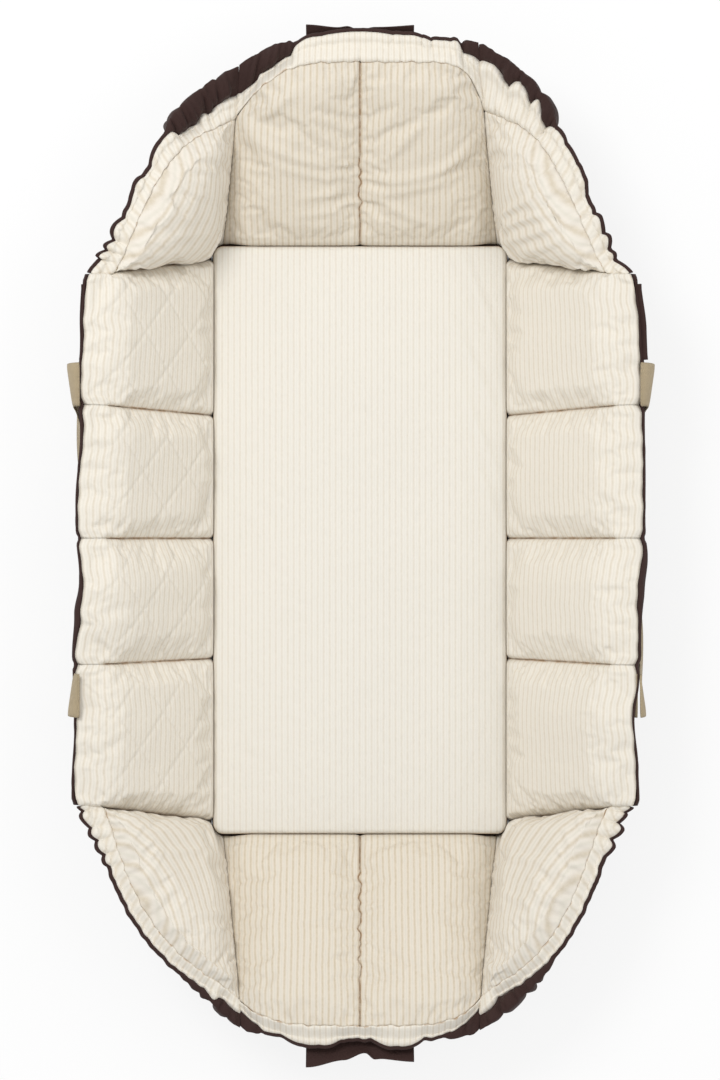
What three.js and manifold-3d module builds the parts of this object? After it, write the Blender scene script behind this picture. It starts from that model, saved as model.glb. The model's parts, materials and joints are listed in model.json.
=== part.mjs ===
// A padded infant lounger, standing open on a floor. It is a long soft nest: a mattress on a stiffened base,
// two long side walls of four pads each, two end walls of two pads each, and a puffy gusset in each corner.
// The rim is a flat band along the sides and a gathered casing with an elastic in it round both ends.
// A webbing handle hangs from the outside of each side wall.
// Millimetres and degrees. X points to the right side, Y to the head end and Z up.
// The origin is on the floor under the middle.

import * as THREE from "three";
import Module from "manifold-3d";
import { mergeVertices } from "three/addons/utils/BufferGeometryUtils.js";

const wasm = await Module();
wasm.setup();

// Clearance between pieces that touch or are sewn face to face.
const clearance = 0.3;

// Mattress.
const mattressWidth = 350;
const mattressLength = 700;
const mattressCornerRadius = 26;
const mattressEdgeHeight = 22;
const mattressCrown = 13;
const mattressSideRound = 6;
const coverThickness = 1.5;
const zipLength = 240;
const zipWidth = 4;
const zipInset = 60;

// Base under the mattress.
const basePanelThickness = 1.6;
const baseBoardThickness = 3;
const baseBoardInset = 2;
const baseCornerRadius = 12;
const pipingRadius = 2.5;
const sideSeamMargin = 5;
const endSeamMargin = 3;

// Walls, measured along their slope from the seam at the base.
const shellThickness = 1.6;
const sideTilt = 42;
const endTilt = 57;
const sideFold = 24;
const endFold = 20;
const sidePadHeight = 172;
const sideBandHeight = 32;
const sideTopHalfLength = 300;
const middlePadLength = 148;
const endPadHeight = 232;
const endPadHeightAtCorner = 178;
const endRimHeight = 270;
const endRimHeightAtCorner = 236;
const endTopHalfWidth = 138;
const wallGap = 3;

// Pads.
const padEdgeThickness = 4;
const padInset = 2;
const padSeamGap = 3;
const padDrawIn = 3;
const sidePadCrown = 20;
const endPadCrown = 20;
const cornerPadCrown = 24;
const cornerPadStart = 12;
const bandFootThickness = 21;
const bandRimThickness = 3;

// Gathered casing and its elastic.
const shellTuck = 4;
const rimHemThickness = 2.5;
const seamGap = 0.9;
const liningPuff = 5;
const casingPuff = 9;
const cornerCasingPuff = 22;
const gatherDepth = 6;
const gatherPitch = 24;
const casingSetback = 4;
const elasticWidth = 20;
const elasticThickness = 1.6;
const cornerSeamBow = 10;
const cornerRimBow = 18;

// Webbing and straps.
const webbingWidth = 50;
const webbingThickness = 2;
const handleThickness = 2.5;
const handleSpacing = 356;
const handleDrop = 132;
const handleLegBow = 9;
const handleCrownShift = 20;
const handlePivotOut = 3.3;
const handlePivotRise = 2.7;
const riserStart = 6;
const riserEndSetback = 0.4;
const fastenerLength = 86;
const fastenerHeight = 44;
const fastenerOverhang = 8;
const fastenerGap = 3;
const strapWidth = 124;
const strapThickness = 2;
const strapFoot = 40;
const strapOverhang = 6;

// Shares and counts of the meshes.
const cornerSteps = 4;
const roundSides = 8;
const padColumns = 7;
const padRows = 6;
const wallColumns = 8;
const wallRows = 2;
const endColumns = 12;
const gussetColumns = 10;
const roundRows = 4;
const strapColumns = 4;
const handleColumns = 2;
const handleSteps = 48;
const pufferShare = 0.4;
const bandEndShare = 0.12;
const bowLeanShare = 1.6;
const seamFallShare = 4;
const rimFallShare = 3;
const cornerPuffShares = [0.35, 0.75];
const crownRingShares = [0.06, 0.2, 0.42, 0.7];
const crownRoundShare = 2.4;
const differenceShare = 0.01;

// Colours.
const cream = "#f1ebdd";
const darkBrown = "#3c2a2a";
const beige = "#d9cdb2";
const foamWhite = "#f4f2ea";
const boardGrey = "#8d8a84";
const elasticWhite = "#ebe6da";

// Places that follow from the sizes.
const halfShell = shellThickness / 2;
const shellFace = halfShell + clearance;
const hingeHeight = clearance + pipingRadius;
const sideHinge = mattressWidth / 2 + sideSeamMargin;
const endHinge = mattressLength / 2 + endSeamMargin;
const wallStart = hingeHeight + clearance;
const boardBottom = basePanelThickness + clearance;
const mattressBottom = boardBottom + baseBoardThickness + clearance;
const sideFootHalfLength = endHinge - baseCornerRadius - wallGap;
const endFootHalfWidth = sideHinge - baseCornerRadius - wallGap;
const sideWallHeight = sidePadHeight + sideBandHeight;
const handlePivotHeight = sideWallHeight + handlePivotRise;

const radians = THREE.MathUtils.degToRad;
const lerp = THREE.MathUtils.lerp;

const evenShares = (count) => Array.from({ length: count + 1 }, (_, i) => i / count);
const edgeShares = (count) => evenShares(count).map((share) => (1 - Math.cos(share * Math.PI)) / 2);
// One at the middle of a stretch and nought at its ends, steep at the ends as a stuffed pad is.
const puffAt = (share, power = pufferShare) => Math.max(0, 1 - (2 * share - 1) ** 2) ** power;

// Closed bodies

// A geometry whose faces all point outwards, from triangles that agree with one another.
function bodyOf(points, triangles) {
  const product = new THREE.Vector3();
  let volume = 0;
  for (let i = 0; i < triangles.length; i += 3) {
    product.crossVectors(points[triangles[i]], points[triangles[i + 1]]);
    volume += product.dot(points[triangles[i + 2]]);
  }
  if (volume < 0) triangles.reverse();
  const geometry = new THREE.BufferGeometry().setFromPoints(points);
  geometry.setIndex(triangles);
  geometry.computeVertexNormals();
  return geometry;
}

// A sheet between an inner and an outer surface, each a function of a share across and a share up. Both are
// split along the same diagonals, so that a twisted sheet keeps its thickness.
function sheetBetween(inner, outer, acrossShares, upShares) {
  const points = [];
  const triangles = [];
  const columns = acrossShares.length;
  const rows = upShares.length;
  const cell = (layer, column, row) => (layer * rows + row) * columns + column;
  const quad = (p, q, r, s) => triangles.push(p, q, r, p, r, s);
  for (const surface of [inner, outer]) {
    for (const up of upShares) {
      for (const across of acrossShares) points.push(surface(across, up));
    }
  }
  for (let row = 0; row < rows - 1; row++) {
    for (let column = 0; column < columns - 1; column++) {
      const corners = [[column + 1, row], [column + 1, row + 1], [column, row + 1]];
      quad(cell(0, column, row), ...corners.map(([i, j]) => cell(0, i, j)));
      quad(cell(1, column, row), ...corners.reverse().map(([i, j]) => cell(1, i, j)));
    }
  }
  for (let column = 0; column < columns - 1; column++) {
    quad(cell(0, column, 0), cell(1, column, 0), cell(1, column + 1, 0), cell(0, column + 1, 0));
    quad(
      cell(0, column + 1, rows - 1),
      cell(1, column + 1, rows - 1),
      cell(1, column, rows - 1),
      cell(0, column, rows - 1),
    );
  }
  for (let row = 0; row < rows - 1; row++) {
    quad(cell(0, 0, row + 1), cell(1, 0, row + 1), cell(1, 0, row), cell(0, 0, row));
    quad(
      cell(0, columns - 1, row),
      cell(1, columns - 1, row),
      cell(1, columns - 1, row + 1),
      cell(0, columns - 1, row + 1),
    );
  }
  return bodyOf(points, triangles);
}

// A body through rings of points. Its end rings are capped, or with joined its last ring meets its first.
function bodyThroughRings(rings, joined = false) {
  const count = rings[0].length;
  const points = rings.flat();
  const triangles = [];
  const bands = joined ? rings.length : rings.length - 1;
  for (let ring = 0; ring < bands; ring++) {
    const here = ring * count;
    const next = ((ring + 1) % rings.length) * count;
    for (let i = 0; i < count; i++) {
      const j = (i + 1) % count;
      triangles.push(here + i, here + j, next + j, here + i, next + j, next + i);
    }
  }
  if (joined) return bodyOf(points, triangles);
  for (const ring of [0, rings.length - 1]) {
    const middle = new THREE.Vector3();
    for (const point of rings[ring]) middle.addScaledVector(point, 1 / count);
    const centre = points.push(middle) - 1;
    for (let i = 0; i < count; i++) {
      const j = (i + 1) % count;
      const [first, second] = ring === 0 ? [j, i] : [i, j];
      triangles.push(centre, ring * count + first, ring * count + second);
    }
  }
  return bodyOf(points, triangles);
}

function boxBetween(outRange, alongRange, upRange) {
  const size = [outRange, alongRange, upRange].map(([low, high]) => high - low);
  const centre = [outRange, alongRange, upRange].map(([low, high]) => (low + high) / 2);
  return new THREE.BoxGeometry(...size).translate(...centre);
}

function solidOf(geometry) {
  const bare = geometry.clone();
  bare.deleteAttribute("normal");
  bare.deleteAttribute("uv");
  const merged = mergeVertices(bare);
  return new wasm.Manifold(
    new wasm.Mesh({
      numProp: 3,
      vertProperties: merged.attributes.position.array,
      triVerts: new Uint32Array(merged.index.array),
    }),
  );
}

function geometryOf(solid) {
  const mesh = solid.getMesh();
  const geometry = new THREE.BufferGeometry();
  geometry.setAttribute("position", new THREE.BufferAttribute(mesh.vertProperties, 3));
  geometry.setIndex(new THREE.BufferAttribute(mesh.triVerts, 1));
  geometry.computeVertexNormals();
  return geometry;
}

// A rectangle with round corners at one height, anticlockwise.
function roundedRing(halfWidth, halfLength, radius, height) {
  const ring = [];
  for (let quarter = 0; quarter < 4; quarter++) {
    const signX = quarter === 0 || quarter === 3 ? 1 : -1;
    const signY = quarter < 2 ? 1 : -1;
    for (const share of evenShares(cornerSteps)) {
      const angle = (quarter + share) * (Math.PI / 2);
      const x = signX * (halfWidth - radius) + radius * Math.cos(angle);
      const y = signY * (halfLength - radius) + radius * Math.sin(angle);
      ring.push(new THREE.Vector3(x, y, height));
    }
  }
  return ring;
}

// Base and mattress

function slab(inset, radius, bottom, top) {
  const ring = (height) => roundedRing(sideHinge - inset, endHinge - inset, radius, height);
  return bodyThroughRings([ring(bottom), ring(top)]);
}

function basePanelGeometry() {
  const drop = hingeHeight - basePanelThickness;
  const inset = Math.sqrt(pipingRadius ** 2 - drop ** 2) + clearance;
  return slab(inset, baseCornerRadius - inset, 0, basePanelThickness);
}

function baseBoardGeometry() {
  const ring = (height) =>
    roundedRing(
      mattressWidth / 2 - baseBoardInset,
      mattressLength / 2 - baseBoardInset,
      baseCornerRadius,
      height,
    );
  return bodyThroughRings([ring(boardBottom), ring(boardBottom + baseBoardThickness)]);
}

function basePipingGeometry() {
  const rings = [];
  for (let side = 0; side < roundSides; side++) {
    const angle = (side / roundSides) * Math.PI * 2;
    const outward = pipingRadius * Math.cos(angle);
    const height = hingeHeight + pipingRadius * Math.sin(angle);
    rings.push(
      roundedRing(sideHinge + outward, endHinge + outward, baseCornerRadius + outward, height),
    );
  }
  return bodyThroughRings(rings, true);
}

// The mattress's outer form, or with a skin the form that lies that far inside it.
function mattressForm(skin) {
  const halfWidth = mattressWidth / 2 - skin;
  const halfLength = mattressLength / 2 - skin;
  const edgeTop = mattressBottom + mattressEdgeHeight;
  const ring = (inset, height) => {
    const radius = lerp(mattressCornerRadius, mattressSideRound, inset / halfWidth);
    return roundedRing(halfWidth - inset, halfLength - inset, radius, height);
  };
  const rings = [
    ring(mattressSideRound, mattressBottom + skin),
    ring(0, mattressBottom + mattressEdgeHeight / 2),
    ring(mattressSideRound / 2, edgeTop - skin),
  ];
  for (const share of crownRingShares) {
    const rise = mattressCrown * (1 - (1 - share) ** crownRoundShare);
    rings.push(ring(mattressSideRound / 2 + share * halfWidth, edgeTop + rise - skin));
  }
  return bodyThroughRings(rings);
}

function mattressCoverGeometry() {
  const zipFoot = zipInset - mattressLength / 2;
  const zip = boxBetween(
    [-zipLength / 2, zipLength / 2],
    [zipFoot, zipFoot + zipWidth],
    [mattressBottom - coverThickness, mattressBottom + coverThickness * 2],
  );
  const hollow = solidOf(mattressForm(0)).subtract(solidOf(mattressForm(coverThickness)));
  return geometryOf(hollow.subtract(solidOf(zip)));
}

function mattressCoreGeometry() {
  return mattressForm(coverThickness + clearance);
}

// Walls. Each is drawn in its own frame: X out through the wall, Y along it, Z up its slope from the seam.

const sideEdgeAt = (up) => lerp(sideFootHalfLength, sideTopHalfLength, up / sideWallHeight);
const endEdgeAt = (up) => lerp(endFootHalfWidth, endTopHalfWidth, up / endRimHeightAtCorner);

// The heights of an end's pads and of its rim fall off towards the corners.
function fallingHeight(middle, corner, across, power) {
  return lerp(middle, corner, Math.abs(2 * across - 1) ** power);
}
const endSeamAt = (across) =>
  fallingHeight(endPadHeight, endPadHeightAtCorner, across, seamFallShare);
const endRimAt = (across) =>
  fallingHeight(endRimHeight, endRimHeightAtCorner, across, rimFallShare);

// How thick a pad may be at a height on a wall, so that the wall folds in past the mattress's side.
function foldRoom(up, seamMargin, foldedTilt) {
  const free = (seamMargin - clearance) / Math.cos(foldedTilt);
  return free + up * Math.tan(foldedTilt);
}

// A pad on a wall. The two edges are functions of the height, seamAt gives the pad's top at a share across.
// A pad with an open top has no seam there: the band above it carries its full thickness on.
function padGeometry({ lowEdge, highEdge, seamAt, crown, roomAt, openTop = false }) {
  const puffUp = (up) => (openTop && up > 1 / 2 ? 1 : puffAt(up));
  const spot = (across, up, thickness) => {
    const bottom = wallStart + padDrawIn * puffAt(across);
    const topDrop = openTop ? clearance : padInset + padDrawIn * puffAt(across);
    const height = lerp(bottom, seamAt(across) - topDrop, up);
    const drawIn = padDrawIn * puffUp(up);
    const along = lerp(lowEdge(height) + drawIn, highEdge(height) - drawIn, across);
    const full = shellFace + thickness;
    const out = thickness > 0 ? Math.min(full, roomAt(height)) : full;
    return new THREE.Vector3(-out, along, height);
  };
  const front = (across, up) =>
    spot(across, up, padEdgeThickness + crown * puffAt(across) * puffUp(up));
  const back = (across, up) => spot(across, up, 0);
  return sheetBetween(front, back, edgeShares(padColumns), edgeShares(padRows));
}

function sidePadGeometry(index) {
  const seams = [
    (up) => padInset - sideEdgeAt(up),
    () => -middlePadLength,
    () => 0,
    () => middlePadLength,
    (up) => sideEdgeAt(up) - padInset,
  ];
  const lowSetback = index === 0 ? 0 : padSeamGap / 2;
  const highSetback = index === 3 ? 0 : padSeamGap / 2;
  const foldedTilt = radians(sideTilt - sideFold);
  return padGeometry({
    lowEdge: (up) => seams[index](up) + lowSetback,
    highEdge: (up) => seams[index + 1](up) - highSetback,
    seamAt: () => sidePadHeight,
    crown: sidePadCrown,
    roomAt: (up) => foldRoom(up, sideSeamMargin, foldedTilt),
    openTop: true,
  });
}

// The end wall's two pads: the one on the positive half of the wall's length, or its mirror image.
function endPadGeometry(half) {
  const foldedTilt = radians(endTilt - endFold);
  return padGeometry({
    lowEdge: () => (half * padSeamGap) / 2,
    highEdge: (up) => half * (endEdgeAt(up) - padInset),
    seamAt: (across) => endSeamAt((1 + across) / 2),
    crown: endPadCrown,
    roomAt: (up) => foldRoom(up, endSeamMargin, foldedTilt),
  });
}

function sideShellGeometry() {
  const face = (out) => (across, up) => {
    const height = lerp(wallStart, sideWallHeight, up);
    return new THREE.Vector3(out, (2 * across - 1) * sideEdgeAt(height), height);
  };
  return sheetBetween(face(-halfShell), face(halfShell), evenShares(wallColumns), evenShares(wallRows));
}

// The rim's band, which carries the pads' thickness on and thins out to the rim and to its two ends.
function sideBandGeometry() {
  const spot = (across, up, thickness) => {
    const height = lerp(sidePadHeight, sideWallHeight, up);
    const along = (2 * across - 1) * (sideEdgeAt(height) - padInset);
    return new THREE.Vector3(-shellFace - thickness, along, height);
  };
  const front = (across, up) => {
    const swell = (bandFootThickness - bandRimThickness) * puffAt(across, bandEndShare);
    return spot(across, up, bandRimThickness + swell * (1 - up));
  };
  const back = (across, up) => spot(across, up, 0);
  return sheetBetween(front, back, edgeShares(wallColumns), evenShares(wallRows));
}

// The frame that the gathered casing needs on any stretch of rim: the stretch's length, the casing's height at
// a share along it, and a point from an outward offset, such a share and a height above the casing's seam.
const endRim = {
  length: 2 * endTopHalfWidth,
  heightAt: (across) => endRimAt(across) - endSeamAt(across),
  point(out, across, rise) {
    const height = endSeamAt(across) + rise;
    const halfWidth = endEdgeAt(height) - casingSetback;
    return new THREE.Vector3(out, (2 * across - 1) * halfWidth, height);
  },
};

function endShellGeometry() {
  const face = (out) => (across, up) => {
    const height = lerp(wallStart, endSeamAt(across) + shellTuck, up);
    return new THREE.Vector3(out, (2 * across - 1) * endEdgeAt(height), height);
  };
  return sheetBetween(face(-halfShell), face(halfShell), evenShares(endColumns), evenShares(wallRows));
}

// One layer of the gathered casing, on the baby's side or the outside of the elastic. Its puff may grow along it.
function casingGeometry(rim, side, firstPuff, lastPuff = firstPuff) {
  const gathers = Math.round(rim.length / gatherPitch);
  const waveAt = (across) => (1 - Math.cos(across * gathers * Math.PI * 2)) / 2;
  const puffs = (across) => {
    const growth = THREE.MathUtils.smoothstep(across, ...cornerPuffShares);
    return lerp(firstPuff, lastPuff, growth) * lerp(1, 1 / 2, waveAt(across));
  };
  const face = (filled) => (across, up) => {
    const top = rim.heightAt(across) - gatherDepth * waveAt(across);
    const rise = lerp(seamGap, top, up);
    const depth = filled ? rimHemThickness + puffs(across) * puffAt(up) : 0;
    return rim.point(side * (shellFace + depth), across, rise);
  };
  return sheetBetween(face(true), face(false), evenShares(2 * gathers), edgeShares(roundRows));
}

function elasticGeometry(rim) {
  const face = (out) => (across, up) => {
    const low = (rim.heightAt(across) - elasticWidth) / 2;
    return rim.point(out, across, low + up * elasticWidth);
  };
  const columns = 2 * Math.round(rim.length / gatherPitch);
  const half = elasticThickness / 2;
  return sheetBetween(face(-half), face(half), evenShares(columns), evenShares(1));
}

// Corner gusset, drawn for the corner at positive X and Y in the lounger's own frame.

function sidePoint(out, along, up) {
  const tilt = radians(sideTilt);
  const x = sideHinge + up * Math.sin(tilt) + out * Math.cos(tilt);
  const z = hingeHeight + up * Math.cos(tilt) - out * Math.sin(tilt);
  return new THREE.Vector3(x, along, z);
}

function endPoint(out, along, up) {
  const tilt = radians(endTilt);
  const y = endHinge + up * Math.sin(tilt) + out * Math.cos(tilt);
  const z = hingeHeight + up * Math.cos(tilt) - out * Math.sin(tilt);
  return new THREE.Vector3(along, y, z);
}

// A line between two points that bows out, the most nearer its end than its start.
function bowedLine(start, end, bow, across) {
  const outward = new THREE.Vector3(end.y - start.y, start.x - end.x, 0).normalize();
  const point = start.clone().lerp(end, across);
  const leaning = Math.max(0, across) ** bowLeanShare;
  return point.addScaledVector(outward, bow * Math.sin(leaning * Math.PI));
}

// A point on the gusset: nought at the base, one at the casing's seam and two at the rim.
function gussetPoint(across, level) {
  const angle = (across * Math.PI) / 2;
  const foot = new THREE.Vector3(
    sideHinge - baseCornerRadius + baseCornerRadius * Math.cos(angle),
    endHinge - baseCornerRadius + baseCornerRadius * Math.sin(angle),
    hingeHeight,
  );
  const sideAt = (up) => sidePoint(0, sideEdgeAt(up) + wallGap, up);
  const endAt = (up) => endPoint(0, endEdgeAt(up) + wallGap, up);
  const seam = bowedLine(sideAt(sidePadHeight), endAt(endPadHeightAtCorner), cornerSeamBow, across);
  if (level <= 1) return foot.lerp(seam, level);
  const rim = bowedLine(sideAt(sideWallHeight), endAt(endRimHeightAtCorner), cornerRimBow, across);
  return seam.lerp(rim, level - 1);
}

function gussetOffset(across, level, out) {
  const step = differenceShare;
  const acrossStep = gussetPoint(across + step, level).sub(gussetPoint(across - step, level));
  const levelStep = gussetPoint(across, level + step).sub(gussetPoint(across, level - step));
  const outward = acrossStep.cross(levelStep).normalize();
  return gussetPoint(across, level).addScaledVector(outward, out);
}

const gussetSlope = (across) => gussetPoint(across, 0).distanceTo(gussetPoint(across, 1));
const gussetWidth = (level) => gussetPoint(0, level).distanceTo(gussetPoint(1, level));
const casingSlope = (across) => gussetPoint(across, 1).distanceTo(gussetPoint(across, 2));

const cornerRim = {
  length: gussetWidth(2),
  placeAt: (across) => lerp(casingSetback, gussetWidth(2) - casingSetback, across) / gussetWidth(2),
  heightAt: (across) => casingSlope(cornerRim.placeAt(across)),
  point: (out, across, rise) =>
    gussetOffset(cornerRim.placeAt(across), 1 + rise / cornerRim.heightAt(across), out),
};

function cornerPadGeometry() {
  const spot = (across, up, thickness) => {
    const start = cornerPadStart / gussetSlope(across);
    const end = 1 - (padInset + padDrawIn * puffAt(across)) / gussetSlope(across);
    const level = lerp(start, end, up);
    const setback = (wallGap + padDrawIn * puffAt(up)) / gussetWidth(level);
    return gussetOffset(lerp(setback, 1 - setback, across), level, -shellFace - thickness);
  };
  const front = (across, up) =>
    spot(across, up, padEdgeThickness + cornerPadCrown * puffAt(across) * puffAt(up));
  const back = (across, up) => spot(across, up, 0);
  return sheetBetween(front, back, edgeShares(padColumns), edgeShares(padRows));
}

function cornerShellGeometry() {
  const topLevel = 1 + shellTuck / casingSlope(0);
  const levels = [wallStart / gussetSlope(0), 1 / 2, 1, topLevel];
  const face = (out) => (across, row) => gussetOffset(across, levels[row], out);
  const rows = levels.keys().toArray();
  return sheetBetween(face(-halfShell), face(halfShell), evenShares(gussetColumns), rows);
}

// Webbing and straps

function riserGeometry(along) {
  return boxBetween(
    [shellFace, shellFace + webbingThickness],
    [along - webbingWidth / 2, along + webbingWidth / 2],
    [riserStart, sideWallHeight + riserEndSetback],
  );
}

function fastenerGeometry(direction) {
  const near = handleSpacing / 2 + webbingWidth / 2 + fastenerGap;
  const range = [direction * near, direction * (near + fastenerLength)].sort((a, b) => a - b);
  const top = sideWallHeight + fastenerOverhang;
  return boxBetween([shellFace, shellFace + webbingThickness], range, [top - fastenerHeight, top]);
}

// The strap at the middle of an end: flat on the shell, then out over the casing and past the rim.
function endStrapGeometry() {
  const over = shellFace + rimHemThickness + casingPuff + clearance;
  const rimRise = endRimHeight - endPadHeight;
  const route = [
    [shellFace, -strapFoot],
    [shellFace, -over],
    [over, -clearance],
    [over, rimRise],
    [over, rimRise + strapOverhang],
  ];
  const face = (thickness) => (across, row) => {
    const [out, rise] = route[row];
    const along = (across - 1 / 2) * strapWidth;
    const seam = endSeamAt((1 + along / endTopHalfWidth) / 2);
    return new THREE.Vector3(out + thickness, along, seam + rise);
  };
  return sheetBetween(face(0), face(strapThickness), evenShares(strapColumns), route.keys().toArray());
}

// The handle's loop in its own frame, with the pivot line along Y through the origin. The webbing lies flat
// against the wall at both ends and turns on edge round the loop's lowest stretch.
function handleGeometry() {
  const halfSpacing = handleSpacing / 2;
  const endRise = handleThickness / 2;
  const centreAt = (share) => {
    const turn = share * Math.PI;
    const out =
      handleLegBow * Math.sin(2 * turn) ** 2 - handleCrownShift * Math.sin(turn) ** 4;
    const depth = (handleDrop + endRise) * Math.sin(turn);
    return new THREE.Vector3(out, halfSpacing * Math.cos(turn), endRise - depth);
  };
  const face = (through) => (across, share) => {
    const ahead = centreAt(Math.min(1, share + differenceShare));
    const tangent = ahead.sub(centreAt(Math.max(0, share - differenceShare))).normalize();
    const outward = new THREE.Vector3(1, 0, 0);
    const inPlane = outward.clone().cross(tangent).normalize();
    const twist = (Math.PI / 2) * Math.sin(share * Math.PI) ** 4;
    const wide = inPlane.multiplyScalar(Math.cos(twist)).addScaledVector(outward, Math.sin(twist));
    const thick = tangent.clone().cross(wide).normalize();
    const point = centreAt(share).addScaledVector(wide, (across - 1 / 2) * webbingWidth);
    return point.addScaledVector(thick, through);
  };
  const half = handleThickness / 2;
  return sheetBetween(face(-half), face(half), evenShares(handleColumns), evenShares(handleSteps));
}

// Assembly

const cloth = (color) => new THREE.MeshStandardMaterial({ color, roughness: 0.9, metalness: 0 });

function piece(parent, name, geometry, color) {
  const mesh = new THREE.Mesh(geometry, cloth(color));
  mesh.name = name;
  parent.add(mesh);
}

// A group whose X axis leans outward from the vertical on the base's seam, after a turn about Z.
function wallFrame(parent, turn, hinge, tilt) {
  const spin = new THREE.Group();
  spin.rotation.z = turn;
  const arm = new THREE.Group();
  arm.position.set(hinge, 0, hingeHeight);
  arm.rotation.y = radians(tilt);
  spin.add(arm);
  parent.add(spin);
  return { spin, arm };
}

function addBase(parent) {
  piece(parent, "base_panel", basePanelGeometry(), darkBrown);
  piece(parent, "base_board", baseBoardGeometry(), boardGrey);
  piece(parent, "base_piping", basePipingGeometry(), darkBrown);
  piece(parent, "mattress_core", mattressCoreGeometry(), foamWhite);
  piece(parent, "mattress_cover", mattressCoverGeometry(), cream);
}

// A side wall. Its headward direction is the sign of its own Y axis that points to the head end.
function addSideWall(parent, name, turn, headward) {
  const { spin, arm } = wallFrame(parent, turn, sideHinge, sideTilt);
  piece(arm, `${name}_wall_shell`, sideShellGeometry(), darkBrown);
  piece(arm, `${name}_wall_band`, sideBandGeometry(), cream);
  for (let index = 0; index < 4; index++) {
    const fromHead = headward > 0 ? 4 - index : index + 1;
    piece(arm, `${name}_wall_pad_${fromHead}`, sidePadGeometry(index), cream);
  }
  const along = handleSpacing / 2;
  piece(arm, `${name}_riser_head`, riserGeometry(headward * along), beige);
  piece(arm, `${name}_riser_foot`, riserGeometry(-headward * along), beige);
  piece(arm, `${name}_fastener`, fastenerGeometry(headward), darkBrown);

  const pivot = new THREE.Group();
  pivot.position.copy(sidePoint(handlePivotOut, 0, handlePivotHeight));
  spin.add(pivot);
  piece(pivot, `${name}_handle`, handleGeometry(), beige);
}

// An end wall. Its leftward direction is the sign of its own Y axis that points to the left side.
function addEndWall(parent, name, turn, leftward) {
  const { arm } = wallFrame(parent, turn, endHinge, endTilt);
  piece(arm, `${name}_shell`, endShellGeometry(), darkBrown);
  piece(arm, `${name}_pad_left`, endPadGeometry(leftward), cream);
  piece(arm, `${name}_pad_right`, endPadGeometry(-leftward), cream);
  piece(arm, `${name}_casing_lining`, casingGeometry(endRim, -1, liningPuff), cream);
  piece(arm, `${name}_casing_outer`, casingGeometry(endRim, 1, casingPuff), darkBrown);
  piece(arm, `${name}_elastic`, elasticGeometry(endRim), elasticWhite);
  piece(arm, `${name}_strap`, endStrapGeometry(), darkBrown);
}

function addCorner(parent, name, signX, signY) {
  const corner = new THREE.Group();
  corner.scale.set(signX, signY, 1);
  parent.add(corner);
  piece(corner, `${name}_corner_pad`, cornerPadGeometry(), cream);
  piece(corner, `${name}_corner_shell`, cornerShellGeometry(), darkBrown);
  piece(corner, `${name}_corner_casing_lining`, casingGeometry(cornerRim, -1, liningPuff), cream);
  const outer = casingGeometry(cornerRim, 1, casingPuff, cornerCasingPuff);
  piece(corner, `${name}_corner_casing_outer`, outer, darkBrown);
  piece(corner, `${name}_corner_elastic`, elasticGeometry(cornerRim), elasticWhite);
}

function lounger() {
  const root = new THREE.Group();
  addBase(root);
  addSideWall(root, "right", 0, 1);
  addSideWall(root, "left", Math.PI, -1);
  addEndWall(root, "head", Math.PI / 2, 1);
  addEndWall(root, "foot", -Math.PI / 2, -1);
  addCorner(root, "head_right", 1, 1);
  addCorner(root, "head_left", -1, 1);
  addCorner(root, "foot_right", 1, -1);
  addCorner(root, "foot_left", -1, -1);
  return root;
}

export default lounger();
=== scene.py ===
import json
import math

import bpy
import numpy as np
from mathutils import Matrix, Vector


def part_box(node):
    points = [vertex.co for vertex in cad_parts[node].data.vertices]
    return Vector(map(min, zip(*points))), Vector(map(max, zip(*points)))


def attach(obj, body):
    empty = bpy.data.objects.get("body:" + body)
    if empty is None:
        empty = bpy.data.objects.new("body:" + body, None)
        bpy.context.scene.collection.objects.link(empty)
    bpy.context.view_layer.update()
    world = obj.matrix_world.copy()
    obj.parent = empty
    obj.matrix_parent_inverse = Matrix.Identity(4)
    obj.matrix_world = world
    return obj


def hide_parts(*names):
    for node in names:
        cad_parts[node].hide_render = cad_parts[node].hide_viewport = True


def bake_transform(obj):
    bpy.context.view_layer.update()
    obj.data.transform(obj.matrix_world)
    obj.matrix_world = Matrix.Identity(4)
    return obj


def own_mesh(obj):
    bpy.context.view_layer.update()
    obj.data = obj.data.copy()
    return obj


# Looks of a padded infant lounger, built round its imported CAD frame. Metres and radians throughout.

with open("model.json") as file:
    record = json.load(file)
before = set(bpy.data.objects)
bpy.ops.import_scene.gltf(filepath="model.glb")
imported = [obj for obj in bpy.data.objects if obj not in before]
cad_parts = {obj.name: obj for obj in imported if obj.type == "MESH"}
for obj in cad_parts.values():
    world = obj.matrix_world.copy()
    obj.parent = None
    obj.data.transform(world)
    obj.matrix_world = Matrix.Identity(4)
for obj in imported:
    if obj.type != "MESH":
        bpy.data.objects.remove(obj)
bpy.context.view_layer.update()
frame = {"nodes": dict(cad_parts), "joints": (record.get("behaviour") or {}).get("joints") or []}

# Walls, as the frame's own wall nodes have them.
SIDE_TILT = math.radians(42)
END_TILT = math.radians(57)
END_EDGE_TOP = 0.236
END_TOP_HALF = 0.138
PAD_SLOPE = 0.232
BASE_CORNER_RADIUS = 0.012
WALL_GAP = 0.0004

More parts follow.
